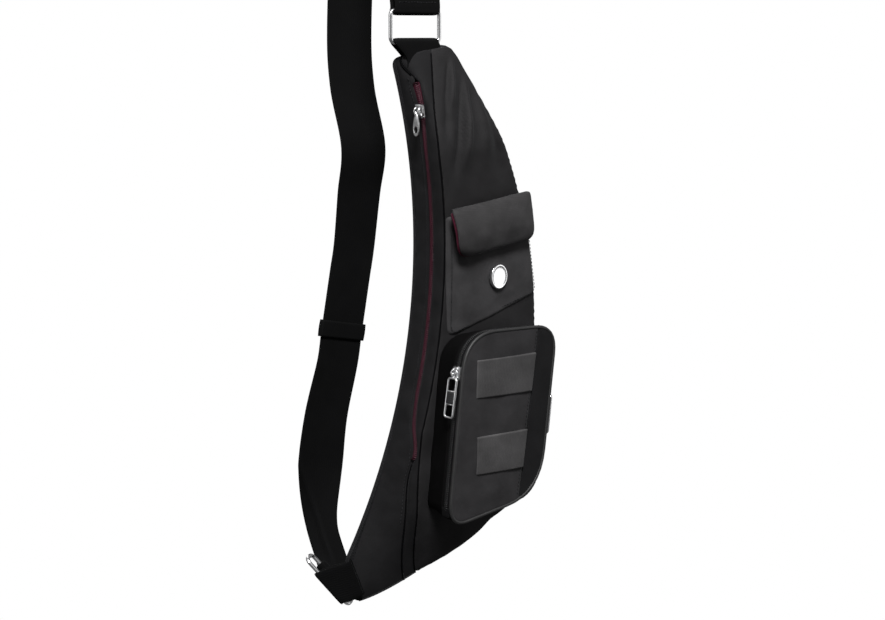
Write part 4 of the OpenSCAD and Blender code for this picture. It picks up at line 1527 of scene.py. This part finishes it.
def wire_ring(name, node, place, height):
    half = STRAP_WIDTH / 2 + WIRE + 0.4
    path = rounded_rectangle(2 * half, height, 4.5, 8)
    shape = Shape()
    shape.tube([place((p[0], 0, p[1] + height / 2)) for p in path], WIRE, 16, closed=True)
    shape.piece(name, NICKEL, "strap", "hardware", node)


def bottom_place(p):
    across = unit(np.cross(BOTTOM_OUT, BOTTOM_ALONG))
    return BOTTOM_RING + p[0] * BOTTOM_ALONG + p[1] * across + p[2] * BOTTOM_OUT


def make_rings():
    wire_ring("top_ring_wire", "top_ring",
              lambda p: np.array([RING_X + p[0], RING_Y + p[1], RING_LOW + p[2]]),
              RING_HIGH - RING_LOW)
    wire_ring("bottom_ring_wire", "bottom_ring", bottom_place, BOTTOM_RISE)


def loop_path(bar, far, side, turns_of_wrap, start, end):
    """Path of a tab: from its root round a ring's bar and back."""
    r = WIRE + 1.3
    wrap = [bar + r * (math.cos(t) * side + math.sin(t) * far) for t in np.radians(turns_of_wrap)]
    return catmull(start + wrap + end, 8)


def make_top_tab():
    bar = np.array([RING_X, RING_Y, RING_LOW])
    start = [bar + np.array(step) for step in ((7, -2.2, -16), (6, -2.6, -9))]
    end = [bar + np.array(step) for step in ((6, 2.6, -9), (7, 2.2, -16))]
    path = loop_path(bar, np.array([0, 0, 1]), np.array([0, 1, 0]), [180, 135, 90, 45, 0], start, end)
    sewn = unit([1, 0, 0.22])
    shares = smoothstep((218 - path[:, 2]) / 10)[:, None]
    widths = STRAP_WIDTH - 1 - 11 * smoothstep((219 - path[:, 2]) / 9)
    shape = Shape()
    ribbon(shape, path, sewn * shares + np.array([1.0, 0, 0]) * (1 - shares), widths, 2.2, skew=True)
    shape.blended_piece("top_tab_webbing", STRAP, ("bag", "strap"), (0, 0, 212), (0, 0, 221),
                        "strap_webbing", "top_tab", "top_tab_loop")


def make_bottom_tab():
    root = np.array([-100.0, -6, -211])
    bar = BOTTOM_RING + BOTTOM_ALONG * 5
    far = bar - root
    far = unit(far - BOTTOM_ALONG * (far @ BOTTOM_ALONG))
    side = unit(np.cross(far, BOTTOM_ALONG))
    start = [root - side * 2 - far * 5, root - side * 2.2]
    end = [root + side * 2.2, root + side * 2 - far * 5]
    path = loop_path(bar, far, side, [180, 130, 90, 50, 0], start, end)
    lean = unit([0.22, -0.16, -1])
    shares = smoothstep(np.linalg.norm(path - root, axis=1) / np.linalg.norm(bar - root))
    wishes = lean * (1 - shares[:, None]) + BOTTOM_ALONG * shares[:, None]
    shape = Shape()
    ribbon(shape, path, wishes, 31 + 2 * shares, 2.0, skew=True)
    shape.blended_piece("bottom_tab_webbing", STRAP, ("bag", "strap"), root, BOTTOM_RING,
                        "strap_webbing", "bottom_tab", "bottom_tab_loop")


def make_keeper():
    """The band round the strap's straight stretch, a little fuller in its middle."""
    middle = STRAIGHT_TOP + (STRAIGHT_LOW - STRAIGHT_TOP) * 0.72
    face = np.cross(STRAIGHT, LEVEL)
    wide, thick = STRAP_WIDTH + 3.2, STRAP_THICK + 2.8
    outer, inner = [], []
    for v in np.linspace(-1, 1, 9):
        full = 0.5 * (1 - v * v)
        for rings, grow, corner in ((outer, full, 1.3), (inner, -2, 0.5)):
            rings.append([middle + LEVEL * p[0] + face * p[1] + STRAIGHT * v * 7
                          for p in rounded_rectangle(wide + grow, thick + grow, corner, 4)])
    shape = Shape()
    shape.sleeve(outer, inner)
    shape.piece("strap_keeper_webbing", STRAP, "keeper", "strap_webbing", "strap_keeper")


# ---------- stitching ----------

def stitch_line(shape, path, normal, pitch=3.0, length=2.1, radius=0.26):
    """A row of stitches along a path, sunk a little into the cloth at both ends."""
    path = np.asarray(path, float)
    run = lengths(path)
    normals = np.broadcast_to(normal, path.shape)
    stitch = ((0, -0.2), (0.15, 0.12), (0.5, 0.22), (0.85, 0.12), (1, -0.2))
    radii = [radius * 0.5, radius, radius, radius, radius * 0.5]
    for k in range(int(run[-1] / pitch)):
        spots = [(k * pitch + s * length, h * radius * 2) for s, h in stitch]
        shape.tube([value_at(path, run, at) + value_at(normals, run, at) * h for at, h in spots],
                   radii, 5, up=(0.3, 0.9, 0.2))


def make_stitching():
    beside_zip = 2.2
    bag = Shape()
    rows = [i for i, a in enumerate(WALL.angle) if ZIP_LOW - 6 < a < ZIP_TOP + 0.5]
    for side in (1, -1):
        path = [WALL.seam_line([i], side * (zip_half_share(i) + beside_zip / WALL.depth[i]))[0]
                for i in rows]
        stitch_line(bag, np.array(path) + WALL.outward[rows] * 0.75, WALL.outward[rows])
    inside = 2.99
    outline = np.concatenate([s[:-1] for s in PATCH_SIDES[1:]])
    path = outline + unit(np.mean(PATCH_CORNERS, axis=0) - outline) * inside
    d = distance_to(path[None], outline_of(PATCH_SIDES))[0]
    y = -(DEPTH - 1.45 + 2.6 * quarter(d / 2.2) + 1.5 * smoothstep(d / 16))
    stitch_line(bag, lift(path, y), (0, -1, 0))
    bag.piece("stitching_bag", THREAD, "bag", "body_fabric")
    lid = Shape()
    line = straight(SEAM_TOP - (2.4, 4), SEAM_LOW - (2.4, -4), 60)
    stitch_line(lid, lift(line, -(POCKET_FACE + 1.25)), (0, -1, 0))
    lid.piece("stitching_lid", THREAD, "pocket_lid", "panel_fabric")
    strap = Shape()
    for z in (6, 9, 24):
        line = [RING_BAR + np.array([x, 0.02 * z - 4.6, z]) for x in np.linspace(-20, 20, 20)]
        stitch_line(strap, line, (0, -1, 0))
    strap.piece("stitching_strap", THREAD, "strap", "strap_webbing")


# ---------- studio ----------

CAMERA_AZIMUTH = -40
CAMERA_ELEVATION = 8
CAMERA_DISTANCE = 1.66
CAMERA_LENS = 81.36


def aim(thing, azimuth, elevation, distance):
    """Puts a light or the camera at a distance from the frame's origin, facing it."""
    a, e = math.radians(azimuth), math.radians(elevation)
    direction = Vector((math.sin(a) * math.cos(e), -math.cos(a) * math.cos(e), math.sin(e)))
    thing.location = direction * distance
    thing.rotation_euler = direction.to_track_quat("Z", "Y").to_euler()
    bpy.context.scene.collection.objects.link(thing)


def make_floor():
    height = cad_bounds[0][2] / MM - 130
    shape = Shape()
    rings = [[(r * math.cos(a), r * math.sin(a), height) for a in turns(64)]
             for r in np.linspace(1, 1900, 20)]
    shape.grid(rings, close_across=True)
    shape.cap(rings[0])
    floor = shape.build("floor", pale("floor_pale"))
    floor.visible_shadow = False


def area_light(name, azimuth, elevation, distance, size, power):
    data = bpy.data.lights.new(name, "AREA")
    data.shape = "RECTANGLE"
    data.size, data.size_y = size
    data.energy = power
    aim(bpy.data.objects.new(name, data), azimuth, elevation, distance)


def make_world():
    """White to the camera, and a soft light that grows upwards for everything else."""
    world = bpy.data.worlds.new("studio")
    bpy.context.scene.world = world
    world.use_nodes = True
    nodes, link = world.node_tree.nodes, world.node_tree.links.new
    nodes.clear()
    output = nodes.new("ShaderNodeOutputWorld")
    seen = nodes.new("ShaderNodeBackground")
    light = nodes.new("ShaderNodeBackground")
    for background in (seen, light):
        background.inputs[0].default_value = (1, 1, 1, 1)
    upward = nodes.new("ShaderNodeTexCoord")
    split = nodes.new("ShaderNodeSeparateXYZ")
    shade = nodes.new("ShaderNodeMapRange")
    for index, value in enumerate((-0.5, 1.0, 0.10, 0.42), start=1):
        shade.inputs[index].default_value = value
    path = nodes.new("ShaderNodeLightPath")
    mix = nodes.new("ShaderNodeMixShader")
    link(upward.outputs["Generated"], split.inputs[0])
    link(split.outputs[2], shade.inputs[0])
    link(shade.outputs[0], light.inputs[1])
    link(path.outputs["Is Camera Ray"], mix.inputs[0])
    link(light.outputs[0], mix.inputs[1])
    link(seen.outputs[0], mix.inputs[2])
    link(mix.outputs[0], output.inputs[0])


def make_camera():
    data = bpy.data.cameras.new("camera")
    data.lens = CAMERA_LENS
    data.sensor_width = 36
    data.clip_end = 20
    camera = bpy.data.objects.new("camera", data)
    aim(camera, CAMERA_AZIMUTH, CAMERA_ELEVATION, CAMERA_DISTANCE)
    bpy.context.scene.camera = camera
    bpy.context.scene.view_settings.view_transform = "Standard"


def make_studio():
    make_floor()
    make_world()
    area_light("key", -35, 50, 1.9, (0.6, 0.5), 70)
    area_light("fill", 60, 3, 2.1, (1.2, 1.2), 7)
    area_light("side", -110, 15, 2.0, (0.6, 1.4), 5)
    area_light("back", 165, 40, 1.9, (0.9, 0.9), 24)
    make_camera()


make_front_panel()
make_side_strips()
make_gusset()
make_back_panel()
make_seams()
make_lining()
make_main_zip()
make_main_slider()
make_patch_pocket()
make_flap()
make_button()
make_box_pocket_walls()
make_pocket_zip()
make_lid()
make_bands()
make_pocket_pulls()
make_strap()
make_rings()
make_top_tab()
make_bottom_tab()
make_keeper()
make_stitching()
make_studio()
